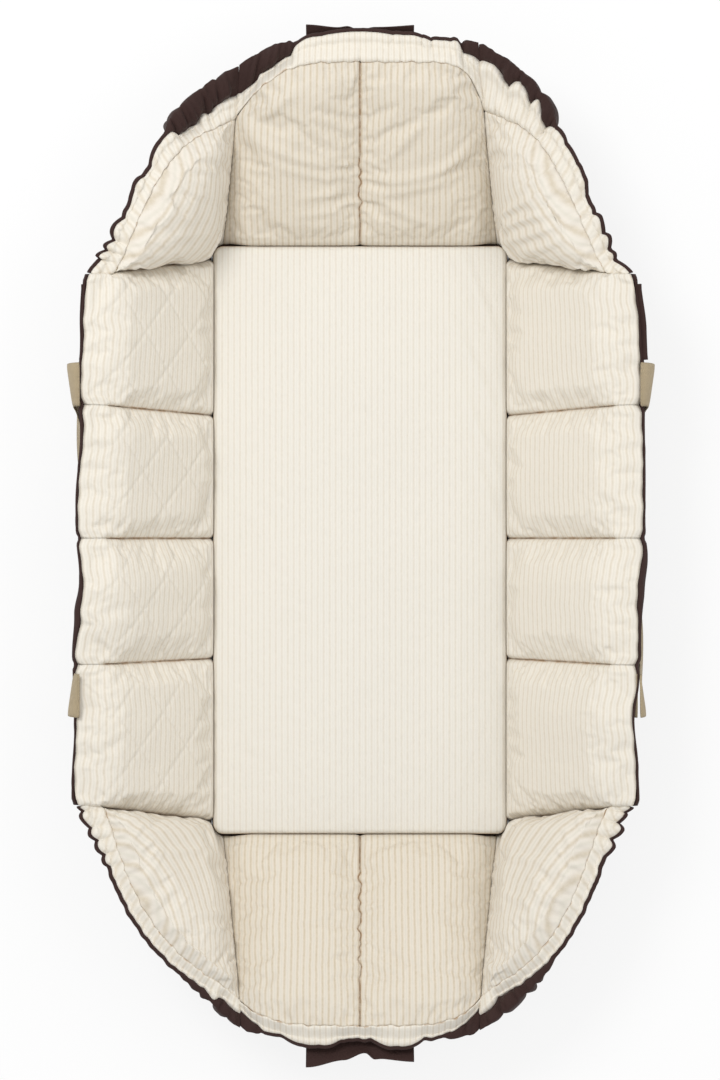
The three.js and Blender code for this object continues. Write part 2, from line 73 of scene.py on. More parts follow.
# How far up the slope the seams and rims of the ends and the corners run. A higher fall keeps a line level for
# longer before it drops to its corner. A corner's seam and rim bow outwards, most near the end wall.
END_SEAM_HEIGHTS = {"head_end": 0.2435, "foot_end": 0.2530}
END_RIM_HEIGHTS = {"head_end": 0.2785, "foot_end": 0.2770}
END_SEAM_CORNERS = {"head_right": 0.178, "head_left": 0.168, "foot_right": 0.212, "foot_left": 0.216}
END_RIM_CORNERS = {"head_right": 0.260, "head_left": 0.232, "foot_right": 0.252, "foot_left": 0.248}
SEAM_FALLS = {"head_right": 11, "head_left": 4, "foot_right": 6, "foot_left": 5}
RIM_FALL = 2
SEAM_WANDER = 0.0014
SEAM_WANDER_WAVES = (0.013, 0.021, 0.034)
WANDER_FADE = 0.08
CORNER_SEAM_LIFT = 0.020
BOW_LEANS = {"head_right": 1.8, "head_left": 1.6, "foot_right": 1.5, "foot_left": 1.15}

# Cloth.
CLOTH_THICKNESS = 0.0012
SEAM_GAP = 0.0001
STRIPE_PITCH = 0.0071
GRID_PITCH = 0.0045
FINE_PITCH = 0.0017

# Pads.
PAD_BACK = 0.0012
SIDE_PAD_THICKNESS = 0.023
END_PAD_THICKNESS = 0.024
CORNER_PAD_THICKNESS = 0.029
CORNER_PAD_SHARE = 0.4
CORNER_PAD_START = 0.002
PAD_CROWN = 0.12
CORNER_PAD_CROWN = 0.25
SIDE_SEAMS = ((-0.141, -0.143), (0.002, 0.002), (0.148, 0.155))
SEAM_ROUND = 0.009
CROWN_ROUND = 0.034
TIGHT_SHARE = 0.6
SOFT_ROUND = 0.040
BOTTOM_ROUND = 0.020
MID_SLOPE = 0.1
MATTRESS_CLEARANCE = 0.0001
ROOM_BLEND = 0.001
CLOTH_STEPS = 100

# A side pad bends near its rim, and the band lies beyond the bend.
BEND_HEIGHT = 0.172
BEND_RUN = 0.012
BEND_BLEND = 0.0022
RIM_SLOPE = 0.78
RIM_THICKNESS = 0.003
RIM_ROUND = 0.004
BAND_DENT = 0.16
BAND_DENT_REACH = 0.005

# How high a pad's edges lie, as shares of its thickness: at a seam between two pads, at its top seam, on the
# band, and where a corner's pad meets the side wall's and the end wall's.
SEAM_SHARE = 0.62
END_CENTRE_SHARE = 0.78
TOP_SEAM_SHARE = 0.76
CORNER_SEAM_SHARE = 0.45
BAND_END_SHARE = 0.5
RIDGE_SHARES = {"side": 0.30, "end": 0.34}

# The line on which a wall's pad and a corner's meet.
RIDGE_RISES = {"side": 0.022, "end": 0.060}
RIDGE_INSET = 0.02
RIDGE_LOWEST = 0.1
SLOPE_STEP = 0.01
MITRE_REACH = 0.030

# The tan line of a seam: its thread, and painted shade for the crease it lies in. Gathered cloth hides it in
# places, and a seam with a corner at an end wall shows none.
NO_THREAD_OR_SHADE = 0.01
BAND_THREAD_AND_SHADE_SHIFT = 0.0018
RIM_THREAD_AND_SHADE_SHIFT = 0.003
THREAD_AND_SHADE_HIDING = 0.0016
THREAD_AND_SHADE_CONTRAST = 1.6
THREAD_AND_SHADE_WAVES = (0.017, 0.029, 0.011)

# Blowing up and creasing the pads: how long and how hard, how much spare cloth they have, how far a place may
# move, and how much of each pad is held or kept smooth at its border.
SIM_FRAMES = 22
SIM_PRESSURE = 5.0
SIM_SPARE = 0.035
SIM_CAP = 0.008
PINNED_ROWS = 5
HIDDEN_FOOT = 0.018
FOLD_FREE = 0.005

# Diamond quilting of the left wall's pads.
QUILT_PITCH = 0.080
QUILT_LEAN = 1.18
QUILT_WIDTH = 0.0024
QUILT_DEPTH = 0.0012

# The least divisors of a length and of a vector.
TINY = 1e-9
NO_LENGTH = 1e-12

# Seeds of the random draws.
SEEDS = {"side_pad": 100, "end_pad": 200, "corner_pad": 300, "casing": 400, "side_shell": 500,
         "end_shell": 520, "corner_shell": 530, "mattress": 40, "panel": 9, "seam": 71, "thread": 83,
         "zigzag": 61, "bare": 77, "lining": 91}
SEED_STEP = 10
RIM_SEED_STEP = 40

# Zigzag of the end walls' centre seams, and the heights between which it runs.
ZIGZAG_WAVES = (0.013, 0.021, 0.034)
ZIGZAG_DEPTH = 0.0028
ZIGZAG_FADE = 0.02
ZIGZAG_RANGE = {"head_end": (0.040, 0.135), "foot_end": (0.050, 0.205)}

# How far each wall's rim leans out beyond its plain tilt: (place along the wall, length) pairs.
LEAN_HEIGHT = 0.204
LEANS = {
    "right_wall": ((-0.30, 0.001), (-0.26, -0.001), (-0.205, -0.007), (-0.16, 0.0), (-0.13, 0.003),
                   (-0.055, 0.002), (-0.01, 0.011), (0.08, 0.011), (0.17, 0.009), (0.24, 0.004),
                   (0.30, -0.003)),
    "left_wall": ((-0.30, -0.003), (-0.24, 0.0), (-0.17, 0.005), (-0.128, 0.0), (-0.045, 0.0095),
                  (-0.01, 0.009), (0.055, 0.0005), (0.085, 0.005), (0.135, 0.0145), (0.217, 0.012),
                  (0.27, 0.016), (0.30, 0.016)),
    "head_end": ((-0.15, 0.0), (0.15, 0.0)),
    "foot_end": ((-0.15, 0.0), (0.15, 0.0)),
}

# A fold's line is drawn in steps. Its ridge has a shallow trough beside it and fades towards its tips.
FOLD_STEPS = 15
FOLD_TROUGH = 0.45
FOLD_TROUGH_REACH = 2.2
FOLD_TIP = 0.04
FOLD_FULLNESS = 0.6

# The ranges from which puckers are drawn: shares of their slot, their seam, their reach and their height, and
# widths in metres.
PUCKER_PLACES = (0.15, 0.85)
PUCKER_SLANTS = (-0.6, 0.6)
PUCKER_REACHES = (0.5, 1.2)
PUCKER_BENDS = (-0.1, 0.1)
PUCKER_WIDTHS = (0.0026, 0.0048)
PUCKER_HEIGHTS = (0.4, 1.0)
PUCKER_REACH = 0.026

# The puckers of each kind of seam: how many, how far they reach and how high they are.
SIDE_PUCKERS = {"count": 5, "reach": 0.022, "height": 0.0012}
END_PUCKERS = {"count": 6, "reach": 0.024, "height": 0.0012}
END_TOP_PUCKERS = {"count": 20, "reach": PUCKER_REACH, "height": 0.0040}
CENTRE_PUCKERS = {"count": 8, "reach": PUCKER_REACH, "height": 0.0028}
CORNER_TOP_PUCKERS = {"count": 16, "reach": PUCKER_REACH, "height": 0.0034}
CORNER_SIDE_PUCKERS = {"count": 6, "reach": PUCKER_REACH, "height": 0.0018}
CORNER_SIDE_SLANT = (0.8, -0.5)
CORNER_SIDE_START = 0.02
MATTRESS_LONG_PUCKERS = {"count": 26, "reach": 0.022, "height": 0.0007}
MATTRESS_SHORT_PUCKERS = {"count": 12, "reach": 0.02, "height": 0.0007}

# The notch of a side pad's seam at the band's inner edge: two short folds up and down from it.
BEND_NOTCH_RISES = (-0.018, 0.014)
BEND_NOTCH_REACH = 0.026
BEND_NOTCH_MIDDLE = 0.014
BEND_NOTCH_RISE_SHARE = 0.4
BEND_NOTCH_WIDTH = 0.0042
BEND_NOTCH_DEPTH = 0.0026

# Folds: start, middle and end in millimetres on the cloth, then width and height in metres.
MILLIMETRES = 1000
END_FOLDS = {
    "head": (
        ((-2, 122), (-56, 132), (-84, 204), 0.0075, 0.0046),
        ((-2, 100), (-86, 92), (-146, 150), 0.0080, 0.0054),
        ((-2, 82), (-58, 84), (-146, 116), 0.0070, 0.0044),
        ((-2, 81), (-36, 70), (-92, 38), 0.0065, 0.0036),
        ((2, 122), (64, 112), (132, 158), 0.0075, 0.0044),
        ((2, 100), (56, 104), (114, 127), 0.0065, 0.0036),
        ((2, 84), (36, 86), (70, 79), 0.0060, 0.0034),
        ((22, 63), (46, 60), (70, 56), 0.0055, 0.0024),
        ((76, 208), (94, 196), (116, 168), 0.0070, 0.0044),
        ((-92, 214), (-108, 190), (-122, 160), 0.0070, 0.0030),
    ),
    "foot": (
        ((-120, 8), (-72, 20), (-15, 48), 0.006, 0.0026),
        ((-88, 10), (-65, 15), (-42, 28), 0.005, 0.0018),
        ((118, 8), (70, 22), (15, 50), 0.006, 0.0026),
        ((86, 10), (64, 16), (40, 28), 0.005, 0.0018),
        ((0, 120), (30, 138), (52, 170), 0.006, 0.002),
        ((0, 150), (-28, 160), (-50, 190), 0.006, 0.002),
    ),
}

# Ridges on corner pads, across from the pad's middle towards its end wall, and up.
CORNER_FOLDS = {
    "head_right": (
        ((18, 64), (4, 104), (-14, 146), 0.0052, 0.0050),
        ((4, 58), (-14, 100), (-32, 146), 0.0050, 0.0056),
        ((-14, 58), (-32, 100), (-50, 146), 0.0050, 0.0052),
        ((-32, 62), (-50, 104), (-68, 146), 0.0050, 0.0040),
        ((70, 100), (50, 128), (34, 150), 0.0050, 0.0030),
    ),
    "head_left": (
        ((-10, 70), (-34, 104), (-62, 140), 0.0060, 0.0022),
        ((60, 104), (46, 126), (30, 150), 0.0050, 0.0028),
        ((24, 96), (12, 124), (0, 150), 0.0050, 0.0022),
    ),
    "foot_right": (
        ((6, 60), (-16, 100), (-44, 142), 0.0055, 0.0030),
        ((40, 84), (24, 118), (8, 148), 0.0050, 0.0026),
        ((76, 120), (62, 134), (46, 150), 0.0050, 0.0030),
    ),
    "foot_left": (
        ((-8, 66), (-30, 104), (-58, 142), 0.0055, 0.0024),
        ((80, 112), (64, 128), (48, 144), 0.0050, 0.0040),
        ((66, 100), (50, 118), (34, 134), 0.0050, 0.0034),
    ),
}
CORNER_GRAIN = 0.41
CORNER_GRAIN_BEND = 3.0
CORNER_GRAIN_MIDDLE = (0.21, 0.42)

# Casings. The lining starts at the pads' seam, swells, keeps in at its waist and ends in a turned edge.
LINING_ROWS = 30
LINING_START = 0.0002
LINING_PUFF = 0.0075
LINING_PUFF_RUN = 0.012
LINING_LEAST_PUFF = 0.0015
LINING_LEAST_CREST = 0.2
LINING_FLAT_CREST = 0.75
LINING_EDGE_ROUND = 0.008
LINING_WAIST = 0.3
LINING_BACK = 0.0014
LINING_BACK_SHARE = 0.7
LINING_MIXING = (0.15, 0.7)
LINING_LIP_SHARE = 0.9
LINING_HEM = 0.004
LINING_CREASE = 0.0016
LINING_CREASE_WAVES = (0.0085, 0.013, 0.021)
LINING_CREASE_SLANT = 0.35
GATHER_STRETCH = 1.1

# The dark layer of a casing. It is tucked under the cream edge, dented where it stands bare, turned over the
# rim and swollen outside. Its outs are those of its nine keys, in the order in which it runs.
RIM_STEP = 0.0026
SMALL_NOTCH = 0.0022
BARE_NOTCH = 0.0055
BARE_LOBES = (0.016, 0.034)
BARE_CREASE = 0.0030
BARE_CREASE_WAVES = (0.0085, 0.013, 0.021)
BARE_CREASE_SLANT = 0.25
BARE_CREASE_RUN = 0.003
CORNER_OUTER_PUFF = 0.021
END_OUTER_PUFF = 0.0035
OUTER_ROWS = 48
OUTER_TURN = 0.014
OUTER_TUCK = 0.008
OUTER_FOOT = 0.004
OUTER_ENDS = 0.06
OUTER_INNER_SHARES = (0.35, 0.75)
OUTER_BACK_SHARES = (0.85, 0.5, 0.15)
OUTER_OUTS = (-0.0004, -0.0010, -0.001, 0.0, 0.0016, 0.001, 0.0, 0.001, 0.0018)
OUTER_DENT = 0.009
OUTER_DENT_SHARE = 0.30
OUTER_DENT_FADE = 0.8
OUTER_BULGE_SHARES = (0.55, 1.0, 0.45)
OUTER_LEAST_CREST = 0.45
OUTER_SHARPNESS = 0.6
OUTER_BARE_RANGE = (0.005, 0.010)
OUTER_FRONT_FADE = 0.3
OUTER_FRONT_REACH = 0.6

# The elastic in a casing.
ELASTIC_WIDTH = 0.020
ELASTIC_THICKNESS = 0.0008
ELASTIC_DROP = 0.005
ELASTIC_PITCH = 0.003
ELASTIC_OUT = 0.0003
ELASTIC_ENDS = (0.02, 0.98)

# How long each layer of a casing is beside its rim, before it is gathered, and the lengths of its lobes.
LAYER_LENGTHS = {"casing_lining": 1.3, "casing_outer": 1.15, "elastic": 1.0}
CASING_SAMPLES = 50
CORNER_LOBES = (0.011, 0.032)
END_LOBES = (0.010, 0.024)

# The ranges from which lobes are drawn, as shares, and the powers that shape them.
LOBE_LENGTH_POWER = 1.4
LOBE_SIZES = (0.5, 1.0)
LOBE_PEAKS = (0.22, 0.78)
LOBE_STEEPS = (0.6, 1.5)
LOBE_CUSPS = (0.25, 1.0)
LOBE_TOPS = (0.0, 0.25)
LOBE_DROP_POWER = 0.75

# The cream edge of each casing, as lobes between pleats: shares along its stretch, and millimetres below the
# rim. An end runs from one corner to the other, and a corner from its side wall to its end wall.
EDGES = {
    "head": ((0.0, 20), (0.07, 12), (0.09, 0), (0.16, 3), (0.20, 5), (0.27, 2), (0.36, 4), (0.5, 3),
             (0.66, 4), (0.72, 3), (0.77, 8), (0.785, 18), (0.81, 22), (0.82, 30), (0.85, 34), (0.91, 25),
             (0.92, 33), (0.98, 36), (1.0, 34)),
    "foot": ((0.0, 22), (0.065, 14), (0.10, 4), (0.165, 7), (0.25, 0), (0.335, 2), (0.42, 12),
             (0.5, 24), (0.53, 18), (0.64, 2), (0.715, 0), (0.785, 12), (0.81, 6), (0.83, 10), (0.86, 9),
             (0.885, 16), (0.935, 22), (1.0, 28)),
    "head_left": ((0.0, 4), (0.07, 7), (0.08, 0), (0.11, 10), (0.13, 3), (0.16, 13), (0.20, 0), (0.28, 14),
                  (0.40, 1), (0.48, 18), (0.55, 4), (0.65, 8), (0.71, 38), (0.77, 30), (0.785, 38),
                  (0.83, 27), (0.86, 34), (0.92, 30), (1.0, 34)),
    "head_right": ((0.0, 4), (0.06, 19), (0.09, 12), (0.11, 18), (0.16, 5), (0.18, 11), (0.24, 4), (0.27, 13),
                   (0.30, 11), (0.32, 21), (0.38, 1), (0.42, 1), (0.54, 8), (0.56, 6), (0.61, 11), (0.67, 29),
                   (0.73, 9), (0.77, 24), (0.82, 10), (0.88, 28), (0.95, 14), (1.0, 20)),
    "foot_left": ((0.0, 5), (0.02, 8), (0.05, 0), (0.09, 6), (0.12, 0), (0.14, 6), (0.17, 0), (0.20, 5),
                  (0.23, 0), (0.25, 6), (0.30, 0), (0.38, 6), (0.43, 1), (0.47, 1), (0.53, 12), (0.58, 20),
                  (0.66, 17), (0.69, 8), (0.79, 16), (0.87, 4), (0.91, 19), (0.94, 13), (1.0, 14)),
    "foot_right": ((0.0, 6), (0.02, 14), (0.035, 9), (0.07, 13), (0.10, 0), (0.14, 10), (0.17, 0), (0.23, 11),
                   (0.31, 0), (0.35, 9), (0.38, 3), (0.41, 5), (0.47, 0), (0.58, 1), (0.62, 8), (0.69, 20),
                   (0.75, 27), (0.78, 24), (0.86, 17), (0.91, 24), (0.95, 15), (1.0, 17)),
}
LOBE_ROUND = 1.7
LOWEST_EDGE = 0.0075

# Where the dark layer stands bare beyond the cream edge, by share along each stretch.
BARED = {
    "head": ((0.0, 1.0), (0.06, 1.0), (0.09, 0.0), (0.76, 0.0), (0.80, 1.0), (1.0, 1.0)),
    "foot": ((0.0, 1.0), (0.07, 1.0), (0.10, 0.0), (0.84, 0.0), (0.88, 1.0), (1.0, 1.0)),
    "head_left": ((0.0, 0.0), (0.62, 0.0), (0.67, 1.0), (1.0, 1.0)),
    "head_right": ((0.0, 0.0), (0.61, 0.0), (0.67, 1.0), (1.0, 1.0)),
    "foot_left": ((0.0, 0.0), (0.50, 0.0), (0.55, 1.0), (1.0, 1.0)),
    "foot_right": ((0.0, 0.0), (0.60, 0.0), (0.66, 1.0), (1.0, 1.0)),
}

# How much of the full gathering each end's casing has: its middle, under the strap, is almost flat.
FULLNESS = {
    "head": ((0.0, 1.0), (0.36, 0.9), (0.42, 0.25), (0.62, 0.25), (0.70, 0.8), (1.0, 1.0)),
    "foot": ((0.0, 1.0), (0.30, 0.7), (0.42, 0.5), (0.58, 0.5), (0.70, 0.7), (1.0, 1.0)),
}

# Rims of the side walls: both the pads' edge and the dark cloth's are a little lower at the pads' seams.
RIM_NOTCH = 0.004
RIM_NOTCH_SHARE = 0.035
RIM_NOTCH_REACH = 0.005
RIM_WAVE = 0.0012
RIM_WAVES = (0.43, 0.27, 0.17)
RIM_WAVE_POWER = 0.5

# Outer cloth.
SHELL_WAVE = 0.0012
SHELL_PITCH = 0.004
SHELL_START = 0.0004
SHELL_OVERLAP = 0.004
SIDE_SHELL_ROWS = 34
SIDE_SHELL_WAVES = (0.33, 0.19, 0.11)
SIDE_SHELL_FADE = 0.05
SIDE_SHELL_ARCH = 0.75
RIM_DROP = 0.0008
RIM_DROP_WAVES = (0.06, 0.033)
RIM_DROP_START = 0.15
RIM_DROP_RUN = 0.05
HEM_WIDTH = 0.008
HEM_STEP = 0.004
HEM_THICKNESS = 0.0016
HEM_BACK = 0.0005
HEM_FRONT = 0.0007
HEM_OVER = 0.0012
HEM_ROUND = 0.0024
HEM_RISES = np.array([0.006, 0.0045, 0.003, 0.0018, 0.0008, 0.0, -0.0007, -0.0012])
END_SHELL_ROWS = 44
END_SHELL_WAVES = (0.21, 0.13, 0.08)
END_SHELL_POWER = 0.8
END_PLEAT = 0.001
END_PLEAT_WAVES = (0.019, 0.027)
END_PLEAT_START = 0.6
END_PLEAT_RUN = 0.35
CORNER_SHELL_GRID = (91, 56)
CORNER_SHELL_START = 0.02
CORNER_SHELL_OUT = 0.004
CORNER_SHELL_WAVE = 0.0022
CORNER_SHELL_WAVES = (0.09, 0.055)
CORNER_SHELL_STEEPNESS = 8
CORNER_SHELL_POWER = 0.7
CORNER_PLEAT = 0.0018
CORNER_PLEAT_WAVES = (0.026, 0.019, 0.033)
CORNER_PLEAT_START = 0.45
CORNER_PLEAT_RUN = 0.4
CORNER_PLEAT_STEEPNESS = 10

# Swellings of the side walls' cloth: place along the wall, width and height. They begin part of the way up.
BULGE_START = 0.09
BULGE_RUN = 0.09
BULGES = {
    "left_wall": ((0.080, 0.036, 0.006), (-0.150, 0.05, 0.002)),
    "right_wall": ((-0.046, 0.040, 0.008), (0.19, 0.05, 0.002)),
}

# Webbing. The head end and the foot end of each handle's loop are kicked out a little from its wall.
RIBBON_THINNING = 0.6
RIBBON_FLATNESS = 6
RISER_ROWS = 40
RISER_SWAY = 0.0004
RISER_SWAY_RUN = 0.03
HANDLE_WIDTH = 0.050
HANDLE_THICKNESS = 0.0025
HANDLE_SPACING = 0.356
HANDLE_DROP = 0.132
HANDLE_BOW = 0.009
HANDLE_SHIFT = 0.020
HANDLE_POWER = 4
HANDLE_GRID = (121, 13)
HANDLE_TURN_STEP = 0.03
HANDLE_KICKS = {"right_wall": (0.013, 0.003), "left_wall": (0.011, 0.010)}
KICK_REACH = 0.12
KICK_SLANTS = {"right_wall": 0.16, "left_wall": -0.16}

# Flaps outside the side rims.
FASTENER_DROPS = {"right_wall": 0.0005, "left_wall": 0.006}
FASTENER_PITCH = 0.003
FASTENER_LIFT = 0.0012
FASTENER_LIFT_ARCH = 1.3
FASTENER_LIFT_SHIFT = 0.4
FASTENER_HEM = 0.0005
FASTENER_HEM_WIDTH = 0.006
FASTENER_THINNING = 0.0004

# Straps at the ends: keys of their route over the rim, and how far their tips reach, by share of the width.
STRAP_WIDTH = 0.124
STRAP_THICKNESS = 0.0018
STRAP_RISES = (-0.052, -0.036, -0.018, 0.000, 0.010, 0.018, 0.025, 0.031)
STRAP_OUTS = (0.0021, 0.0023, 0.0060, 0.0122, 0.0137, 0.0137, 0.0130, 0.0125)
STRAP_TIPS = {
    "head": ((0.0, 0.001), (0.36, -0.003), (0.5, -0.006), (0.62, -0.002), (1.0, 0.000)),
    "foot": ((0.0, 0.005), (0.35, -0.002), (0.56, -0.012), (0.64, -0.006), (1.0, 0.000)),
}
STRAP_TIP_START = 0.4
STRAP_GRID = (63, 57)
STRAP_WAVE = 0.0022
STRAP_WAVE_START = 0.5
STRAP_WAVE_TURNS = 1.6
STRAP_WAVE_SHIFT = 0.15
STRAP_FOLD = 0.004
STRAP_FOLD_PLACE = 0.62
STRAP_FOLD_WIDTH = 0.06
STRAP_FOLD_START = 0.62
STRAP_FOLD_RUN = 0.3

# Mattress.
MATTRESS_CORNER = 0.012
MATTRESS_EDGE_ROUND = 0.005
MATTRESS_PITCH = 0.0032
MATTRESS_TURN = 0.0055
MATTRESS_SEAM_RISE = 0.0165
MATTRESS_CROWN_POWERS = (2, 6)
MATTRESS_CROWN_FALL = 0.8
MATTRESS_PUCKER_INSET = 0.03
MATTRESS_FOLD_START = 0.003
MATTRESS_FOLD_RUN = 0.01
MATTRESS_FOLDS = (
    ((122, 342), (146, 285), (166, 228), 0.005, 0.0026),
    ((106, 268), (136, 210), (163, 150), 0.005, 0.0030),
    ((118, 190), (142, 128), (166, 78), 0.005, 0.0026),
    ((132, 108), (152, 58), (168, 10), 0.005, 0.0022),
    ((-150, 60), (-128, 30), (-112, 4), 0.008, 0.0010),
    ((-140, -230), (-118, -252), (-96, -262), 0.008, 0.0009),
)

# Underside of the base.
PANEL_PITCH = 0.008
PANEL_WAVE = 0.0004
PANEL_WAVES = (0.08, 0.05)
PIPING_TURN_STEPS = 12
PIPING_PITCH = 0.006

# The diagonal and the wall's edge of a corner's two halves, in the corner at positive X and Y.
SIDE_BEND = (np.array([0.252, 0.415, 0.0]), np.array([0.292, 0.300, 0.0]))
END_BEND = (np.array([0.215, 0.445, 0.0]), np.array([0.130, 0.500, 0.0]))

# Photograph's view: the camera is straight above, and the long side of the picture takes the sensor's width.
CAMERA_HEIGHT = 3.238
LENS = 90
SENSOR = 36

WHITE = (1, 1, 1, 1)
WORLD_STRENGTH = 0.685
LAMPS = (
    {"name": "key", "place": (-1.2, 1.2, 2.6), "size": 1.2, "power": 38},
    {"name": "fill", "place": (1.9, 0.2, 2.2), "size": 2.0, "power": 14},
)
FLOOR_HALF = 6.0
FLOOR_LEVEL = -0.0004
FLOOR_GLOW = 0.8
FLOOR_UNEVENNESS = 0.995

# Colours, written as they look on a screen.
# Each use of the striped cloth has its own cream, which is painted light and shade. The walls' creams are
# warmer than the mattress's, and the end walls' are darker still, for the shade on them and the warm light
# thrown back between the cream walls.
LIT_AND_SHADED_CREAMS = {
    "mattress": (0.915, 0.898, 0.862),
    "side": (0.918, 0.893, 0.847),
    "end": (0.890, 0.855, 0.800),
    "corner": (0.910, 0.883, 0.838),
}
STRIPE_TAN = (0.765, 0.705, 0.59)
STRIPE_GREY = (0.83, 0.815, 0.755)
# The stripes' strength by use is also painted light: faintest on the brightly lit mattress, strongest on the
# shaded end walls.
STRIPE_STRENGTHS = {"mattress": 0.34, "side": 0.45, "end": 0.75, "corner": 0.60}
CREAM_UNEVENNESS = 0.985
STRIPE_DRIFT = 0.0009
STRIPE_POWERS = {"tan": 3.0, "grey": 7.0}
STRIPE_WEAR = 0.65
GREY_SHARE = 0.7
# Along each seam the cloth turns tan, patchy at random. This is partly its thread and partly painted shade in
# the seam's crease.
SEAM_TAN = (0.70, 0.57, 0.42)
SEAM_THREAD_AND_SHADE_PATCHES = (0.30, 0.85)
SEAM_THREAD_AND_SHADE_REACH = (0.0002, 0.0015)
COTTON_THREAD = 0.0008
DARK_BROWN = (0.218, 0.138, 0.122)
DARK_THREAD = (0.172, 0.104, 0.090)
DARK_THREAD_PITCH = 0.0009
DARK_CREST = 1.1
WEBBING_BEIGE = (0.80, 0.74, 0.62)
WEBBING_SHADE = (0.66, 0.59, 0.47)
WEBBING_UNEVENNESS = 0.94
WEBBING_SHADE_SHARE = 0.6
WEBBING_ZIGZAG = 0.006
WEBBING_TWILL = 0.0022
WEBBING_CORDS = 0.0015
ELASTIC_CREAM = (0.86, 0.83, 0.76)
BOARD_GREY = (0.5, 0.47, 0.44)
PLAIN_UNEVENNESS = 0.88
SPECULAR = 0.25
FLOOR_WHITE = (0.97, 0.97, 0.97)


def linear(colour):
    """A linear colour with alpha, from one written as it looks on a screen."""
    parts = [c / 12.92 if c <= 0.04045 else ((c + 0.055) / 1.055) ** 2.4 for c in colour]
    return (*parts, 1.0)


def shaded(colour, share):
    """A linear colour from a written one times a share."""
    return linear([part * share for part in colour])


# Camera, lights and floor

def add_camera():
    data = bpy.data.cameras.new("camera")
    data.lens = LENS
    data.sensor_width = SENSOR
    camera = bpy.data.objects.new("camera", data)
    camera.location = (0, 0, CAMERA_HEIGHT)
    bpy.context.scene.collection.objects.link(camera)
    bpy.context.scene.camera = camera


def add_lamp(name, place, size, power):
    data = bpy.data.lights.new(name, "AREA")
    data.shape = "DISK"
    data.size = size
    data.energy = power
    lamp = bpy.data.objects.new(name, data)
    lamp.location = place
    lamp.rotation_mode = "QUATERNION"
    lamp.rotation_quaternion = (-Vector(place)).to_track_quat("-Z", "Y")
    bpy.context.scene.collection.objects.link(lamp)


def add_studio():
    scene = bpy.context.scene
    scene.view_settings.view_transform = "Standard"
    world = bpy.data.worlds.new("studio")
    world.use_nodes = True
    background = world.node_tree.nodes["Background"]
    background.inputs["Color"].default_value = WHITE
    background.inputs["Strength"].default_value = WORLD_STRENGTH
    show_white(world.node_tree, background, "ShaderNodeBackground", 1.0, "World Output")
    scene.world = world
    for lamp in LAMPS:
        add_lamp(**lamp)


def show_white(tree, lit, kind, share, output):
    """Shows the camera a share of plain white in place of a lit shader, and other rays the shader alone."""
    white = tree.nodes.new(kind)
    white.inputs["Color"].default_value = WHITE
    light_path = tree.nodes.new("ShaderNodeLightPath")
    seen = tree.nodes.new("ShaderNodeMath")
    seen.operation = "MULTIPLY"
    seen.inputs[1].default_value = share
    blend = tree.nodes.new("ShaderNodeMixShader")
    tree.links.new(light_path.outputs["Is Camera Ray"], seen.inputs[0])
    tree.links.new(seen.outputs[0], blend.inputs["Fac"])
    tree.links.new(lit.outputs[0], blend.inputs[1])
    tree.links.new(white.outputs[0], blend.inputs[2])
    tree.links.new(blend.outputs[0], tree.nodes[output].inputs["Surface"])


# Materials

